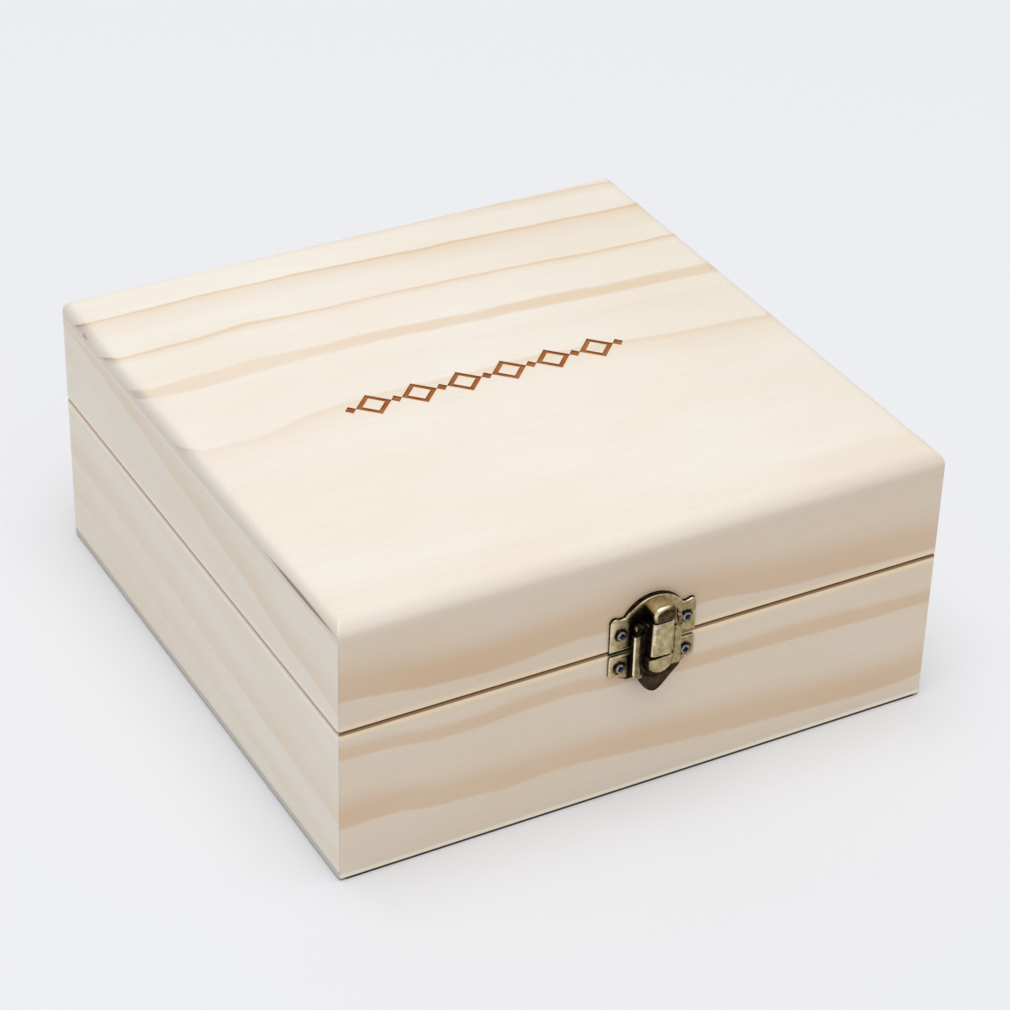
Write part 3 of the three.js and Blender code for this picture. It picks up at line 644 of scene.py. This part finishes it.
def arc(u, v, radius, start, end, steps):
    """Points on an arc, its angles in degrees."""
    turns = [radians(start + (end - start) * k / steps) for k in range(steps + 1)]
    return [(u + radius * cos(a), v + radius * sin(a)) for a in turns]


def bend(a, control, b, steps):
    """Points on a quadratic curve, without its first."""
    out = []
    for k in range(1, steps + 1):
        t = k / steps
        weights = (1 - t) ** 2, 2 * t * (1 - t), t * t
        out.append(tuple(sum(w * p for w, p in zip(weights, places)) for places in zip(a, control, b)))
    return out


def mirrored(right):
    """A closed outline from its right half, which starts at the foot."""
    return right + [(-u, v) for u, v in reversed(right) if u > 1e-6]


def inset(outline, distance):
    """A counterclockwise outline drawn in by a small distance."""
    out = []
    n = len(outline)
    for i in range(n):
        before, here, after = (Vector(outline[(i + k) % n]) for k in (-1, 0, 1))
        a, b = (here - before).normalized(), (after - here).normalized()
        normal = Vector((-a.y, a.x)) + Vector((-b.y, b.x))
        reach = distance * 2 / max(normal.length_squared, 1.2)
        out.append(tuple(here + normal * reach))
    return out


def filled(outline, spacing, place):
    """The inside of an outline as triangles with points at even spacing."""
    corners = [Vector(p) for p in outline]
    low_u, low_v = map(min, zip(*outline))
    wide, tall = max(u for u, _ in outline) - low_u, max(v for _, v in outline) - low_v
    rows, columns = int(tall / spacing), int(wide / spacing)
    for i in range(1, rows):
        for j in range(1, columns):
            u = low_u + (j + 0.5 * (i % 2)) * wide / columns
            corners.append(Vector((u, low_v + i * tall / rows)))
    where, _, cells, *_ = geometry.delaunay_2d_cdt(corners, [], [list(range(len(outline)))], 1, 1e-6)
    return [place(p.x, p.y) for p in where], [list(cell) for cell in cells]


def board(body, side, turns, profile):
    """A board with mitred ends and a soft outer corner. The profile is (in from the face, z)."""
    shares = [0, 0.2, 0.4, 0.6, 0.8, 1]
    columns = []
    for d, z in profile:
        if d < CORNER:
            angles = [radians(a) for a in (0, 15, 30, 45)]
            ends = [(HALF - CORNER + (CORNER - d) * sin(a), CORNER - HALF - (CORNER - d) * cos(a))
                    for a in angles]
        else:
            ends = [(HALF - d - 0.1 * k, d - HALF) for k in (3, 2, 1, 0)]
        start = ends[0][0] - SETBACK
        row = [(SETBACK - x, y, z) for x, y in reversed(ends[1:])]
        row += [((2 * share - 1) * start, ends[0][1], z) for share in shares]
        row += [(x - SETBACK, y, z) for x, y in ends[1:]]
        columns.append(row)
    rings = []
    for ring in zip(*columns):
        for _ in range(turns):
            ring = [(-y, x, z) for x, y, z in ring]
        rings.append(ring)
    name = f"{body}_{side}"
    mesh = mesh_of(name + "_board_pine", *closed(rings), [BOARD_PINE[name]])
    adopt(mesh, body, [name + "_board"], True)


def boards():
    lip = HALF - bottom_high.x - 0.2
    rest = bottom_high.z + 0.05
    base = fillet([(0, base_low.z, 0.4), (lip, base_low.z, 0.2), (lip, rest, 0), (WALL, rest, 0),
                   (WALL, base_high.z, 0.4), (0, base_high.z, 0.45)])
    top = panel_low.z - 0.01
    lid = fillet([(0, lid_low.z, 0.5), (WALL, lid_low.z, 0.4), (WALL, top, 0), (0, top, 0)])
    for turns, side in enumerate(("front", "right", "back", "left")):
        board("base", side, turns, base)
        board("lid", side, turns, lid)


def bottom_panel():
    shape = prism(rectangle(*bottom_low.xy, *bottom_high.xy), bottom_low.z, bottom_high.z)
    mesh = mesh_of("bottom_panel_wood", *shape, [strip_x])
    soften(adopt(mesh, "base", ["base_bottom_panel"]), 0.3)


def strip(node, along, open_at_top):
    """A compartment strip with half-height slots where the others cross it."""
    low, high = limits(node)
    run, side, other, wood = (0, 1, "deep", strip_x) if along == "x" else (1, 0, "across", strip_y)
    fit = 0.2
    slotted, plain = (high.z, low.z) if open_at_top else (low.z, high.z)
    slot_end = (low.z + high.z) / 2 + (-fit if open_at_top else fit)
    half = (high[side] - low[side]) / 2 + fit
    outline = [(low[run], plain), (low[run], slotted)]
    for centre in sorted(middle(f"divider_{other}_{i}")[run] for i in (1, 2, 3, 4)):
        outline += [(centre - half, slotted), (centre - half, slot_end)]
        outline += [(centre + half, slot_end), (centre + half, slotted)]
    outline += [(high[run], slotted), (high[run], plain)]
    shape = prism(outline, low[side], high[side],
                  lambda u, v, w: (u, w, v) if along == "x" else (w, u, v))
    mesh = mesh_of(node + "_wood", *shape, [wood])
    soften(adopt(mesh, "base", [node]), 0.45, 3)


def rounded(radius, drop):
    """How far a round edge of this radius stands in at a depth below the top."""
    return radius - sqrt(radius ** 2 - max(0, radius - drop) ** 2)


def square_ring(inward, z, left_inward):
    """One turn round the lid panel, its corners a little round near the outside. The left edge
    has its own distance inwards."""
    half = HALF - inward
    radius = max(CORNER - inward, 0.25)
    flat = half - radius
    side = [(flat * share, -half) for share in (-1, -0.5, 0, 0.5)]
    side += [(flat + radius * sin(a), -flat - radius * cos(a)) for a in (0, pi / 6, pi / 3, pi / 2)]
    turns = [Matrix.Rotation(radians(90 * quarter), 2) for quarter in range(4)]
    ring = [turn @ Vector(p) for turn in turns for p in side]
    return [(p.x + (left_inward - inward if p.x < -0.9 * half else 0), p.y, z) for p in ring]


def lozenge(x, wide, high):
    return [Vector((x - wide, ORNAMENT_Y)), Vector((x, ORNAMENT_Y - high)),
            Vector((x + wide, ORNAMENT_Y)), Vector((x, ORNAMENT_Y + high))]


def engraved():
    """The outlines of the engraved band, each with its inner outline if it is open."""
    wide, high = PITCH * WIDE_SHARE / 2, TALL / 2
    slope = hypot(wide, high)
    first = ORNAMENT_X - (OPEN_COUNT - 1) / 2 * PITCH
    out = []
    for i in range(OPEN_COUNT):
        x = first + i * PITCH
        inner = lozenge(x, wide - STROKE * slope / high, high - STROKE * slope / wide)
        out.append([lozenge(x, wide, high), inner])
    for i in range(OPEN_COUNT + 1):
        x = first + (i - 0.5) * PITCH
        out.append([lozenge(x, PITCH * STUD_WIDE_SHARE / 2, TALL * STUD_TALL_SHARE / 2)])
    return out


def lid_panel():
    """A panel with round top edges; its flat top is cut along the engraving, whose inside is sunk."""
    rings = [square_ring(0, panel_low.z, 0)]
    for k in range(15):
        drop = LID_ROUND * (1 - sin(radians(90 * k / 14)))
        rings.append(square_ring(rounded(LID_ROUND, drop), TOP - drop, rounded(LEFT_ROUND, drop)))
    points, faces = stacked(rings)
    slots = [0] * len(faces)
    corners = [Vector(p[:2]) for p in rings[-1]]
    outlines = [list(range(len(corners)))]
    groups = []
    for shapes in engraved():
        groups.append(list(range(len(outlines), len(outlines) + len(shapes))))
        for shape in shapes:
            outlines.append(list(range(len(corners), len(corners) + len(shape))))
            corners += shape
    where, _, cells, _, _, owners = geometry.delaunay_2d_cdt(corners, [], outlines, 1, 1e-6)
    start = len(points)
    sunk = start + len(where)
    points += [(p.x, p.y, TOP) for p in where] + [(p.x, p.y, TOP - DEPTH) for p in where]
    low_cells = []
    for cell, owner in zip(cells, owners):
        inside = any(g[0] in owner and (len(g) == 1 or g[1] not in owner) for g in groups)
        faces.append([(sunk if inside else start) + i for i in cell])
        slots.append(int(inside))
        if inside:
            low_cells.append(cell)
    for a, b in outer_edges(low_cells):
        faces.append([sunk + b, sunk + a, start + a, start + b])
        slots.append(1)
    mesh = mesh_of("lid_panel_pine", points, faces, [lid_pine, burnt_pine], slots)
    adopt(mesh, "lid", ["lid_top_panel"], True)


boards()
bottom_panel()
for number in (1, 2, 3, 4):
    strip(f"divider_across_{number}", "x", True)
    strip(f"divider_deep_{number}", "y", False)
lid_panel()

# Latch. Distances in front of the box are called out.
PLATE_BACK, PLATE_FRONT = 0.05, 1.05
PIVOT_OUT, PIVOT_Z = FACE - PIVOT.y, PIVOT.z
SCREW_X, UPPER_SCREW_Z = middle("latch_upper_screw_right").xz
LOWER_SCREW_Z = middle("latch_lower_screw_right").z
EAR = upper_high.x
PLATE_CORNER = 1.8
CROWN_RADIUS = EAR * 0.782
CROWN_RISE = 0.8
HOOD_HALF, HOOD_TALL, HOOD_MARGIN, HOOD_EDGE = 3.5, 4.3, 0.7, 1.15
HOOD_FRONT = FACE - upper_low.y
SWEEP = 4.28
LUG_IN, LUG_OUT, LUG_RADIUS = 4.2, 5.2, 1.5
BUMP_HALF, BUMP_DEEP, BUMP_TALL, BUMP_DROP = 2.2, 3.2, 3.7, 0.5
SHEET_BACK, SHEET_FRONT, RIM_FRONT = 2.4, 3.3, 3.9
RIM_IN, RIM_OUT = 5.6, hasp_high.x
ARM_OUT, ARM_RADIUS = 7, 1.3
RIDGE_HALF, LIP_HALF, LIP_DEEP = 3.55, 4.35, 4.9
RIDGE_TOP, RIDGE_TOP_OUT, RIDGE_SLOPE = hasp_high.z, 7.1, 0.8 / 12
SHEET_TOP = PIVOT_Z - 2.6
SLOT_Z = SEAM - 1.43
SHOULDER = SEAM - 8.18
SHOULDER_CUT = 1.4
TIP = hasp_low.z


def front_place(u, v, w):
    """u is x, v is z and w is out."""
    return (u, FACE - w, v)


def side_place(u, v, w):
    """u is out, v is z and w is x."""
    return (w, FACE - u, v)


def smooth(value, low, high):
    t = max(0, min(1, (value - low) / (high - low)))
    return t * t * (3 - 2 * t)


def brass_piece(name, shape, body, wear_and_lighting, nodes=(), sharp=50, soft=(), cut=None):
    """A piece of the latch. Its wear function takes x, the distance in front of the box, z and the normal,
    and gives from 0 to 1 how rubbed a point is, painted light and shade included."""
    mesh = mesh_of(name, *shape, [latch_brass], sharp=sharp)
    if cut:
        mesh = carved(mesh, cut)
    made = adopt(mesh, body, nodes)
    if soft:
        soften(made, *soft)
    values = []
    for vertex in mesh.vertices:
        x, y, z = vertex.co / MM
        values.append(max(-0.2, min(1, wear_and_lighting(x, FACE - y, z, vertex.normal))))
    mesh.attributes.new("rub", "FLOAT", "POINT").data.foreach_set("value", values)


def upper_outline():
    foot, tall = upper_low.z, upper_high.z - upper_low.z
    ear, notch = foot + tall * 0.691, foot + tall * 0.647
    share = 0.865
    start = degrees(acos(share))
    notch_x = (CROWN_RADIUS * share + EAR - PLATE_CORNER) / 2
    crown = arc(0, upper_high.z - CROWN_RADIUS, CROWN_RADIUS, start, 90, 18)
    right = [(EAR, foot), (EAR, ear - PLATE_CORNER)]
    right += bend(right[-1], (EAR, ear), (EAR - PLATE_CORNER, ear), 6)
    right += bend(right[-1], (notch_x + 0.3, notch), crown[0], 6)[:-1]
    return mirrored(right + crown)


def lower_outline():
    top, tall = lower_high.z, lower_high.z - lower_low.z
    corner = PLATE_CORNER / 2
    ear, turn = top - tall * 0.674, top - tall * 0.8
    turn_x, flat_x = EAR * 0.84, EAR * 0.58
    right = [(flat_x, lower_low.z), (turn_x, turn)]
    right += bend(right[-1], (EAR, turn), (EAR, ear), 6)
    right += [(EAR, top - corner)]
    right += bend(right[-1], (EAR, top), (EAR - corner, top), 5)
    return mirrored(right)


def pressed(drawn_in, levels, spacing, rise=lambda z: 0):
    """A shape with a rolled front edge from (inwards, out) levels. drawn_in(inwards) gives its
    outline and rise(z) lifts its front."""
    back, (inward, front) = levels[0][1], levels[-1]

    def place(u, v, out):
        return front_place(u, v, out + rise(v) * (out - back) / (front - back))

    rings = [[place(u, v, out) for u, v in drawn_in(distance)] for distance, out in levels]
    return joined(stacked(rings), filled(drawn_in(inward), spacing, lambda u, v: place(u, v, front)))


def stamped_plate(row, body, outline, rise):
    levels = [(0, PLATE_BACK), (0, PLATE_FRONT - 0.42), (0.06, PLATE_FRONT - 0.24),
              (0.19, PLATE_FRONT - 0.08), (0.38, PLATE_FRONT)]
    node = f"latch_{row}_plate"
    shape = pressed(lambda inward: inset(outline, inward), levels, 0.7, rise)
    brass_piece(node + "_brass", shape, body, plate_wear_lighting, [node])


def plate_wear_lighting(x, out, z, normal):
    """Plates are rubbed and carry a painted highlight on their rolled edges, have painted shade near the
    hasp and on most side faces, and dirt with painted shade round the screws.
    """
    front, left, up = -normal.y, -normal.x, normal.z
    above = z > SEAM
    screw_gap = hypot(abs(x) - SCREW_X, z - (UPPER_SCREW_Z if above else LOWER_SCREW_Z))
    # Side faces are black with painted shade, except left-facing ones low down and the top faces of the
    # lower plate, which get painted light.
    if front < 0.35:
        return 0.5 if (left > 0.5 and z < SEAM + 9) or (up > 0.5 and not above) else 0.03
    # Front faces are paler towards the left end; rolled edges are rubbed and carry a painted highlight.
    value = 0.62 + 0.16 * smooth(-x, 10.5, 13.2) if front > 0.93 else 0.92
    # A dark ring round each screw: dirt and painted shade beneath the head.
    value *= 0.1 + 0.9 * smooth(screw_gap, 1.8, 2.35)
    # Near the hasp the plate is dark with painted shade, darkest on its left.
    if z < SEAM + 9:
        return value * smooth(abs(x), 7.5, 8.1) - 0.2 * (1 - smooth(-x, 7.5, 8.3)) * (x < 0)
    # The crown keeps a light rim on its left flank and is dark inside it, down to the hood: painted shade.
    inside = CROWN_RADIUS - hypot(x, z - upper_high.z + CROWN_RADIUS)
    if x < 0 and abs(x) < 8.5:
        value *= 0.15 + 0.85 * (1 - smooth(inside, 1, 1.9))
    return value


def hood():
    """The hood over the top of the ridge, arched from the front and hollow below."""
    foot = upper_high.z - HOOD_MARGIN - HOOD_TALL
    straight = 0.42
    arch = [(HOOD_HALF, foot), (HOOD_HALF, foot + HOOD_TALL * straight)]
    for k in range(1, 15):
        a = radians(90 * k / 14)
        arch.append((HOOD_HALF * cos(a) ** 0.8,
                     foot + HOOD_TALL * (straight + (1 - straight) * sin(a) ** 0.85)))
    outline = mirrored(arch)

    def drawn_in(distance):
        smaller = inset(outline, distance)
        return [(u, foot if was == foot else v) for (u, v), (_, was) in zip(smaller, outline)]

    levels = [(0, out) for out in (0.6, 2, 4, HOOD_FRONT - HOOD_EDGE)]
    for k in range(1, 7):
        a = radians(90 * k / 6)
        levels.append((HOOD_EDGE * (1 - cos(a)), HOOD_FRONT - HOOD_EDGE * (1 - sin(a))))
    drum = prism(arc(PIVOT_OUT, PIVOT_Z, SWEEP, 0, 355, 71), -LUG_IN, LUG_IN, side_place)
    brass_piece("latch_hood_brass", pressed(drawn_in, levels, 0.5), "lid", hood_wear_lighting, cut=drum)


def hood_wear_lighting(x, out, z, normal):
    front, up, left = -normal.y, normal.z, -normal.x
    # Inside the swing cut it is black, painted shade beneath the hood.
    if hypot(out - PIVOT_OUT, z - PIVOT_Z) < SWEEP + 0.05:
        return 0
    # The flat front is dark, a painted dark reflection.
    if front > 0.96:
        return 0.2
    if front > 0.2:
        # The painted highlight is brightest at the top left of the front edge.
        return 0.34 + 0.66 * smooth(up + 0.5 * left - 0.12 * x, 0.35, 0.85)
    # Up-facing faces get painted light, the others painted shade.
    return 0.7 if up > 0.3 else 0.06 + 0.25 * max(0, up)


def pair(outline, near, far):
    """The same shape on the left and the right of the middle."""
    return joined(prism(outline, -far, -near, side_place), prism(outline, near, far, side_place))


def lugs():
    outline = [(0.6, PIVOT_Z - LUG_RADIUS)]
    outline += arc(PIVOT_OUT, PIVOT_Z, LUG_RADIUS, -90, 90, 14) + [(0.6, PIVOT_Z + LUG_RADIUS)]
    # The left lug is black with painted shade, the right one paler with painted light.
    brass_piece("latch_lugs_brass", pair(outline, LUG_IN, LUG_OUT), "lid",
                lambda x, out, z, normal: -0.1 if x < 0 else 0.5, soft=(0.2, 2))


def catch_bump():
    shares = [(0, 1), (0.45, 0.97), (0.8, 0.72), (1, 0.55), (1, 0.38), (0.8, 0.2), (0.45, 0.03), (0, 0)]
    foot = lower_high.z - BUMP_DROP - BUMP_TALL
    outline = [(0.6, foot + BUMP_TALL)]
    outline += [(PLATE_FRONT + BUMP_DEEP * a, foot + BUMP_TALL * b) for a, b in shares] + [(0.6, foot)]
    shape = prism(outline, -BUMP_HALF, BUMP_HALF, side_place)
    brass_piece("latch_catch_brass", shape, "base", lambda *point: 0.55, soft=(0.3, 2))


def hasp_front(x, z, edge):
    """How far out the front of the hasp is; edge is the distance to its outline."""
    side = abs(x)
    # A trough runs down both sides of the ridge and round its end, inside a rounded rim.
    turn_z, deep = SEAM - 3.8, 5.8
    if z > turn_z:
        outside = side - RIM_IN
    else:
        outside = (hypot(side / RIM_IN, (turn_z - z) / deep) - 1) * RIM_IN
    bead = sqrt(max(0, 1 - (max(0, 0.85 - max(outside, -0.3)) / 1.15) ** 2))
    level = SHEET_FRONT + (RIM_FRONT - SHEET_FRONT) * bead
    level -= 0.75 * smooth(SHOULDER - z, 0.2, 6)
    rounding = 0.7 if z > SHOULDER + 1 else 0.4
    if edge < rounding:
        level -= 0.8 * (rounding - sqrt(max(0, rounding ** 2 - (rounding - edge) ** 2)))
    stands = RIDGE_TOP_OUT - (RIDGE_TOP - z) * RIDGE_SLOPE
    if z > SLOT_Z:
        body = 1 - (side / RIDGE_HALF) ** 9
    else:
        # The lip under the slot is a round tongue.
        turn = SLOT_Z - 1.9
        low = smooth(turn - z, 0, LIP_DEEP)
        body = 1 - hypot(side / LIP_HALF, max(0, turn - z) / LIP_DEEP) ** (9 - 3 * low)
    if body > 0:
        ridge = SHEET_FRONT + (stands - SHEET_FRONT) * body ** (1 / 2.6)
        top_gap = RIDGE_TOP - z
        if top_gap < 0.7:
            ridge -= 0.7 - sqrt(max(0, 0.49 - (0.7 - top_gap) ** 2))
        ridge -= 1.1 * slot_share(x, z)
        level = max(level, ridge)
    return level


def slot_share(x, z):
    """The slot across the ridge: wide at the left, closed before the right side."""
    width = 0.62 - 0.06 * (x + RIDGE_HALF)
    inside = 1 - smooth(abs(z - SLOT_Z), width * 0.6, width)
    return inside * (1 - smooth(x, 2.3, 3))


def hasp_rows():
    """(z, half width) from the top of the ridge to the tip."""
    rows = [(RIDGE_TOP - g, RIM_OUT) for g in (0, 0.04, 0.12, 0.25, 0.45, 0.7, 1, 1.4, 1.9)]
    z = RIDGE_TOP - 2.4
    while z > SLOT_Z + 0.8:
        rows.append((z, RIM_OUT))
        z -= 0.45
    z = SLOT_Z + 0.75
    while z > SHOULDER + SHOULDER_CUT + 0.1:
        rows.append((z, RIM_OUT))
        z -= 0.08 if z > SLOT_Z - 0.75 else 0.2
    for t in (0, 0.25, 0.5, 0.75, 1):
        rows.append((SHOULDER + SHOULDER_CUT * (1 - t), RIM_OUT - SHOULDER_CUT / 2 * t ** 1.6))
    length = SHOULDER - TIP
    edge_x, neck_x, neck_z = RIM_OUT - SHOULDER_CUT / 2, RIM_OUT * 0.56, SHOULDER - length * 0.455
    control = ((edge_x + neck_x) / 2, SHOULDER - length * 0.14)
    edge = bend((edge_x, SHOULDER), control, (neck_x, neck_z), 18)
    edge += bend((neck_x, neck_z), (neck_x / 2, TIP), (0, TIP), 18)
    return rows + [(v, u) for u, v in edge]


def hasp_sheet():
    half = [0, 0.7, 1.4, 2, 2.5, 2.85, 3.1, 3.25, 3.35, 3.42, 3.47, 3.51, 3.54, 3.55, 3.6, 3.75, 3.95, 4.1,
            4.2, 4.27, 4.32, 4.35, 4.4, 4.6, 4.8, 4.95, 5.1, 5.25, 5.4, 5.55, 5.7, 5.9, 6.15, 6.4, 6.7,
            7, 7.2, 7.35, 7.48, 7.58, 7.65, RIM_OUT]
    columns = [-x for x in reversed(half[1:])] + half
    rows = hasp_rows()
    wide = len(columns)
    fronts, backs = [], []
    for z, width in rows:
        for column in columns:
            x = column * width / RIM_OUT
            front = hasp_front(x, z, (RIM_OUT - abs(column)) * width / RIM_OUT)
            hollow = abs(x) < RIDGE_HALF - 0.6 and z > SEAM - 7.3
            fronts.append(front_place(x, z, front))
            backs.append(front_place(x, z, max(SHEET_BACK, front - 0.8) if hollow else SHEET_BACK))
    faces, count = [], len(fronts)
    for i in range(len(rows) - 1):
        z = (rows[i][0] + rows[i + 1][0]) / 2
        for j in range(wide - 1):
            x = abs(columns[j] + columns[j + 1]) / 2
            if z > SHEET_TOP and x > RIDGE_HALF + 0.04:
                continue
            a, b = i * wide + j, (i + 1) * wide + j
            faces.append([a, b, b + 1, a + 1])
    behind = [[count + i for i in reversed(face)] for face in faces]
    skirts = [[b, a, count + a, count + b] for a, b in outer_edges(faces)]
    return fronts + backs, faces + behind + skirts


def hasp_wear_lighting(x, out, z, normal):
    front, left, down = -normal.y, -normal.x, -normal.z
    side = abs(x)
    if out < SHEET_BACK + 0.1 or front < -0.2:
        return 0.1
    if slot_share(x, z) > 0.25 and side < LIP_HALF:
        return 0
    half = RIDGE_HALF if z > SLOT_Z else LIP_HALF
    # On the ridge and lip, left and downward faces get painted shade, left-facing and top edges painted
    # highlights, and the right side painted light.
    if side < half + 0.08 and out > SHEET_FRONT + 0.75:
        if z < SLOT_Z:
            if x > 3:
                return 0.55
            return 0.04 if down > 0.35 or left > 0.7 else 0.2 + 0.46 * smooth(front, 0.25, 0.95)
        if front > 0.85:
            return 0.7
        if front > 0.35:
            return 0.94 if left > 0 or z > RIDGE_TOP - 1 else 0.6
        return 0.04 if x < 0 else 0.5
    # The tip is dark with painted shade below the lip, and paler at its left shoulder.
    if z < SHOULDER - 0.5:
        return 0.09 + 0.08 * smooth(front, 0.7, 1) + 0.35 * smooth(-x, 5, 7)
    if z < SEAM - 6.5 and side < 4.6:
        return 0.08
    # The right side is pale with painted light, darker low down.
    if x > 0:
        return 0.62 if z > SEAM - 6.8 else 0.14
    # The side walls on the left are black, painted shade.
    if front < 0.45:
        return 0
    # The left rim gets a painted highlight on its left-facing slope; the trough inside it is dark with
    # painted shade.
    if side > RIM_IN - 0.3 or z < SEAM - 7.5:
        return 1 if left > 0.2 else 0.5
    return 0.1


def hasp():
    brass_piece("latch_hasp_brass", hasp_sheet(), "hasp", hasp_wear_lighting, ["latch_hasp"], 70)
    # Each arm goes up from a rim and ends in an eye round the pin.
    outline = [(SHEET_BACK, SHEET_TOP - 0.9), (RIM_FRONT - 0.1, SHEET_TOP - 0.9)]
    outline += arc(PIVOT_OUT, PIVOT_Z, ARM_RADIUS, -77, 202.6, 22)
    # The left arm is dark with painted shade, lit a little on top; the right arm is paler, painted light.
    brass_piece("latch_hasp_arms_brass", pair(outline, RIM_IN, ARM_OUT), "hasp",
                lambda x, out, z, normal: 0.5 if x > 0 else 0.3 * max(0, normal.z) - 0.05, soft=(0.3, 3))


def latch_pin():
    end = limits("latch_pin")[1].x
    head = [(0, 0), (0.4, 0.01), (0.6, 0.09), (0.72, 0.24), (0.72, 0.3), (0.6, 0.32)]
    profile = [(r, w - end) for r, w in head] + [(r, end - w) for r, w in reversed(head)]
    shape = turned(profile, 24, lambda u, v, w: (w, FACE - PIVOT_OUT + u, PIVOT_Z + v))
    # The pin's ends are pale, worn and with a painted highlight; its shank is darker.
    brass_piece("latch_pin_brass", shape, "lid",
                lambda x, out, z, normal: 0.62 if abs(normal.x) > 0.3 else 0.2, ["latch_pin"])


stamped_plate("upper", "lid", upper_outline(), lambda z: CROWN_RISE * smooth(z, SEAM + 8.5, SEAM + 15))
stamped_plate("lower", "base", lower_outline(), lambda z: 0)
hood()
lugs()
catch_bump()
hasp()
latch_pin()

# Screws
HEAD_RADIUS, HEAD_TALL, SHANK, LENGTH, POINT = 1.7, 1, 0.9, 7, 1.8
CROSS_REACH, CROSS_HALF, CROSS_DEEP = 0.95, 0.46, 0.65


def screw_mesh():
    """A round head screw whose head points along +z, its seat at zero."""
    rim = 0.1
    profile = [(0, -LENGTH), (SHANK, POINT - LENGTH), (SHANK, 0), (HEAD_RADIUS - 0.12, 0),
               (HEAD_RADIUS, rim)]
    for a in (15, 30, 42, 54, 65, 75, 83, 90):
        turn = radians(a)
        radius = HEAD_RADIUS * max(0, cos(turn)) ** 0.7
        profile.append((radius, rim + (HEAD_TALL - rim) * sin(turn)))
    mesh = mesh_of("round_head_screw", *turned(profile, 40), [screw_steel])
    for reach_x, reach_y in ((CROSS_REACH, CROSS_HALF), (CROSS_HALF, CROSS_REACH)):
        cross = rectangle(-reach_x, -reach_y, reach_x, reach_y)
        mesh = carved(mesh, prism(cross, HEAD_TALL - CROSS_DEEP, HEAD_TALL * 2))
    return mesh


round_head = screw_mesh()


def screw(node, body, outward, turn):
    low, high = limits(node)
    seat = middle(node)
    seat.y = low.y + HEAD_TALL if outward < 0 else high.y - HEAD_TALL
    pose = (Matrix.Translation(seat * MM) @ Matrix.Rotation(radians(-90 * outward), 4, "X")
            @ Matrix.Rotation(radians(turn), 4, "Z"))
    adopt(round_head, body, [node], pose=pose).name = node + "_steel"


for row, body, turns in (("upper", "lid", (12, 40)), ("lower", "base", (25, 4))):
    for hand, turn in zip(("left", "right"), turns):
        screw(f"latch_{row}_screw_{hand}", body, -1, turn)
spin = 8
for hand in ("left", "right"):
    for row in ("base", "lid"):
        for number in (1, 2):
            screw(f"hinge_{hand}_{row}_screw_{number}", row, 1, spin)
            spin += 23
    # The hinges keep the drawn solids, with their edges rounded.
    for part in ("base_leaf", "lid_leaf", "pin"):
        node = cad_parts[f"hinge_{hand}_{part}"]
        node.data.materials.clear()
        node.data.materials.append(hinge_brass)
        node.data.polygons.foreach_set("material_index", [0] * len(node.data.polygons))
        node.data.shade_smooth()
        node.modifiers.new("weld", "WELD").merge_threshold = 1e-6
        soften(node, 0.18, 2, 40)


def stage_floor():
    """A wide pale floor. Seen, also in the metal, it is a little paler than the light it gives back."""
    s = Shader("pale_floor")
    rays = s.add("LightPath")
    mirrored_too = s.value(rays, "Is Glossy Ray").at_least(s.value(rays, "Is Transmission Ray"))
    seen = s.value(rays, "Is Camera Ray").at_least(mirrored_too)
    tone = s.mix(seen, (0.74, 0.745, 0.755), (0.824, 0.842, 0.883))
    # Under the box it is painted dark, a painted shadow for the thin gap over it.
    x, y, _ = s.parts(s.place)
    gap_shadow = abs(x).below(HALF - 2) * abs(y).below(HALF - 0.1)
    s.colour(s.mix(gap_shadow, tone, (0.21, 0.16, 0.118)), 0.05)
    s.surface.inputs["Roughness"].default_value = 0.9
    reach, below = 8, -0.0005
    mesh = bpy.data.meshes.new("floor")
    corners = [(u, v, below) for u, v in rectangle(-reach, -reach, reach, reach)]
    mesh.from_pydata(corners, [], [(0, 1, 2, 3)])
    mesh.materials.append(s.material)
    floor = linked("floor", mesh)


def studio_light():
    """An even white surround and one wide softbox above the box, a little to its front and left."""
    world = bpy.data.worlds.new("studio")
    bpy.context.scene.world = world
    world.use_nodes = True
    light = world.node_tree.nodes["Background"]
    light.inputs[0].default_value = (1, 0.997, 0.99, 1)
    light.inputs[1].default_value = 0.56
    lamp = bpy.data.lights.new("top_softbox", "AREA")
    lamp.size, lamp.energy, lamp.color = 3.2, 104, (1, 0.99, 0.975)
    made = linked("top_softbox", lamp)
    made.location = (-0.35, -0.35, 4.3)
    made.rotation_euler = (Vector((0, 0, 0.05)) - made.location).to_track_quat("-Z", "Y").to_euler()


def aim_camera():
    """The camera fitted to the edges of the box in the picture."""
    yaw, pitch, roll = (radians(a) for a in (29.28, 33.11, 1.6))
    focal, sensor, picture = 3137, 36, 1010
    lens = bpy.data.cameras.new("camera")
    lens.sensor_width, lens.lens = sensor, focal * sensor / picture
    lens.clip_start, lens.clip_end = 0.05, 60
    camera = linked("camera", lens)
    camera.matrix_world = (Matrix.Translation(Vector((-378.2, -685.8, 548.9)) * MM)
                           @ Matrix.Rotation(-yaw, 4, "Z") @ Matrix.Rotation(pi / 2 - pitch, 4, "X")
                           @ Matrix.Rotation(roll, 4, "Z"))
    scene = bpy.context.scene
    scene.camera = camera
    scene.view_settings.view_transform = "Standard"


stage_floor()
studio_light()
aim_camera()
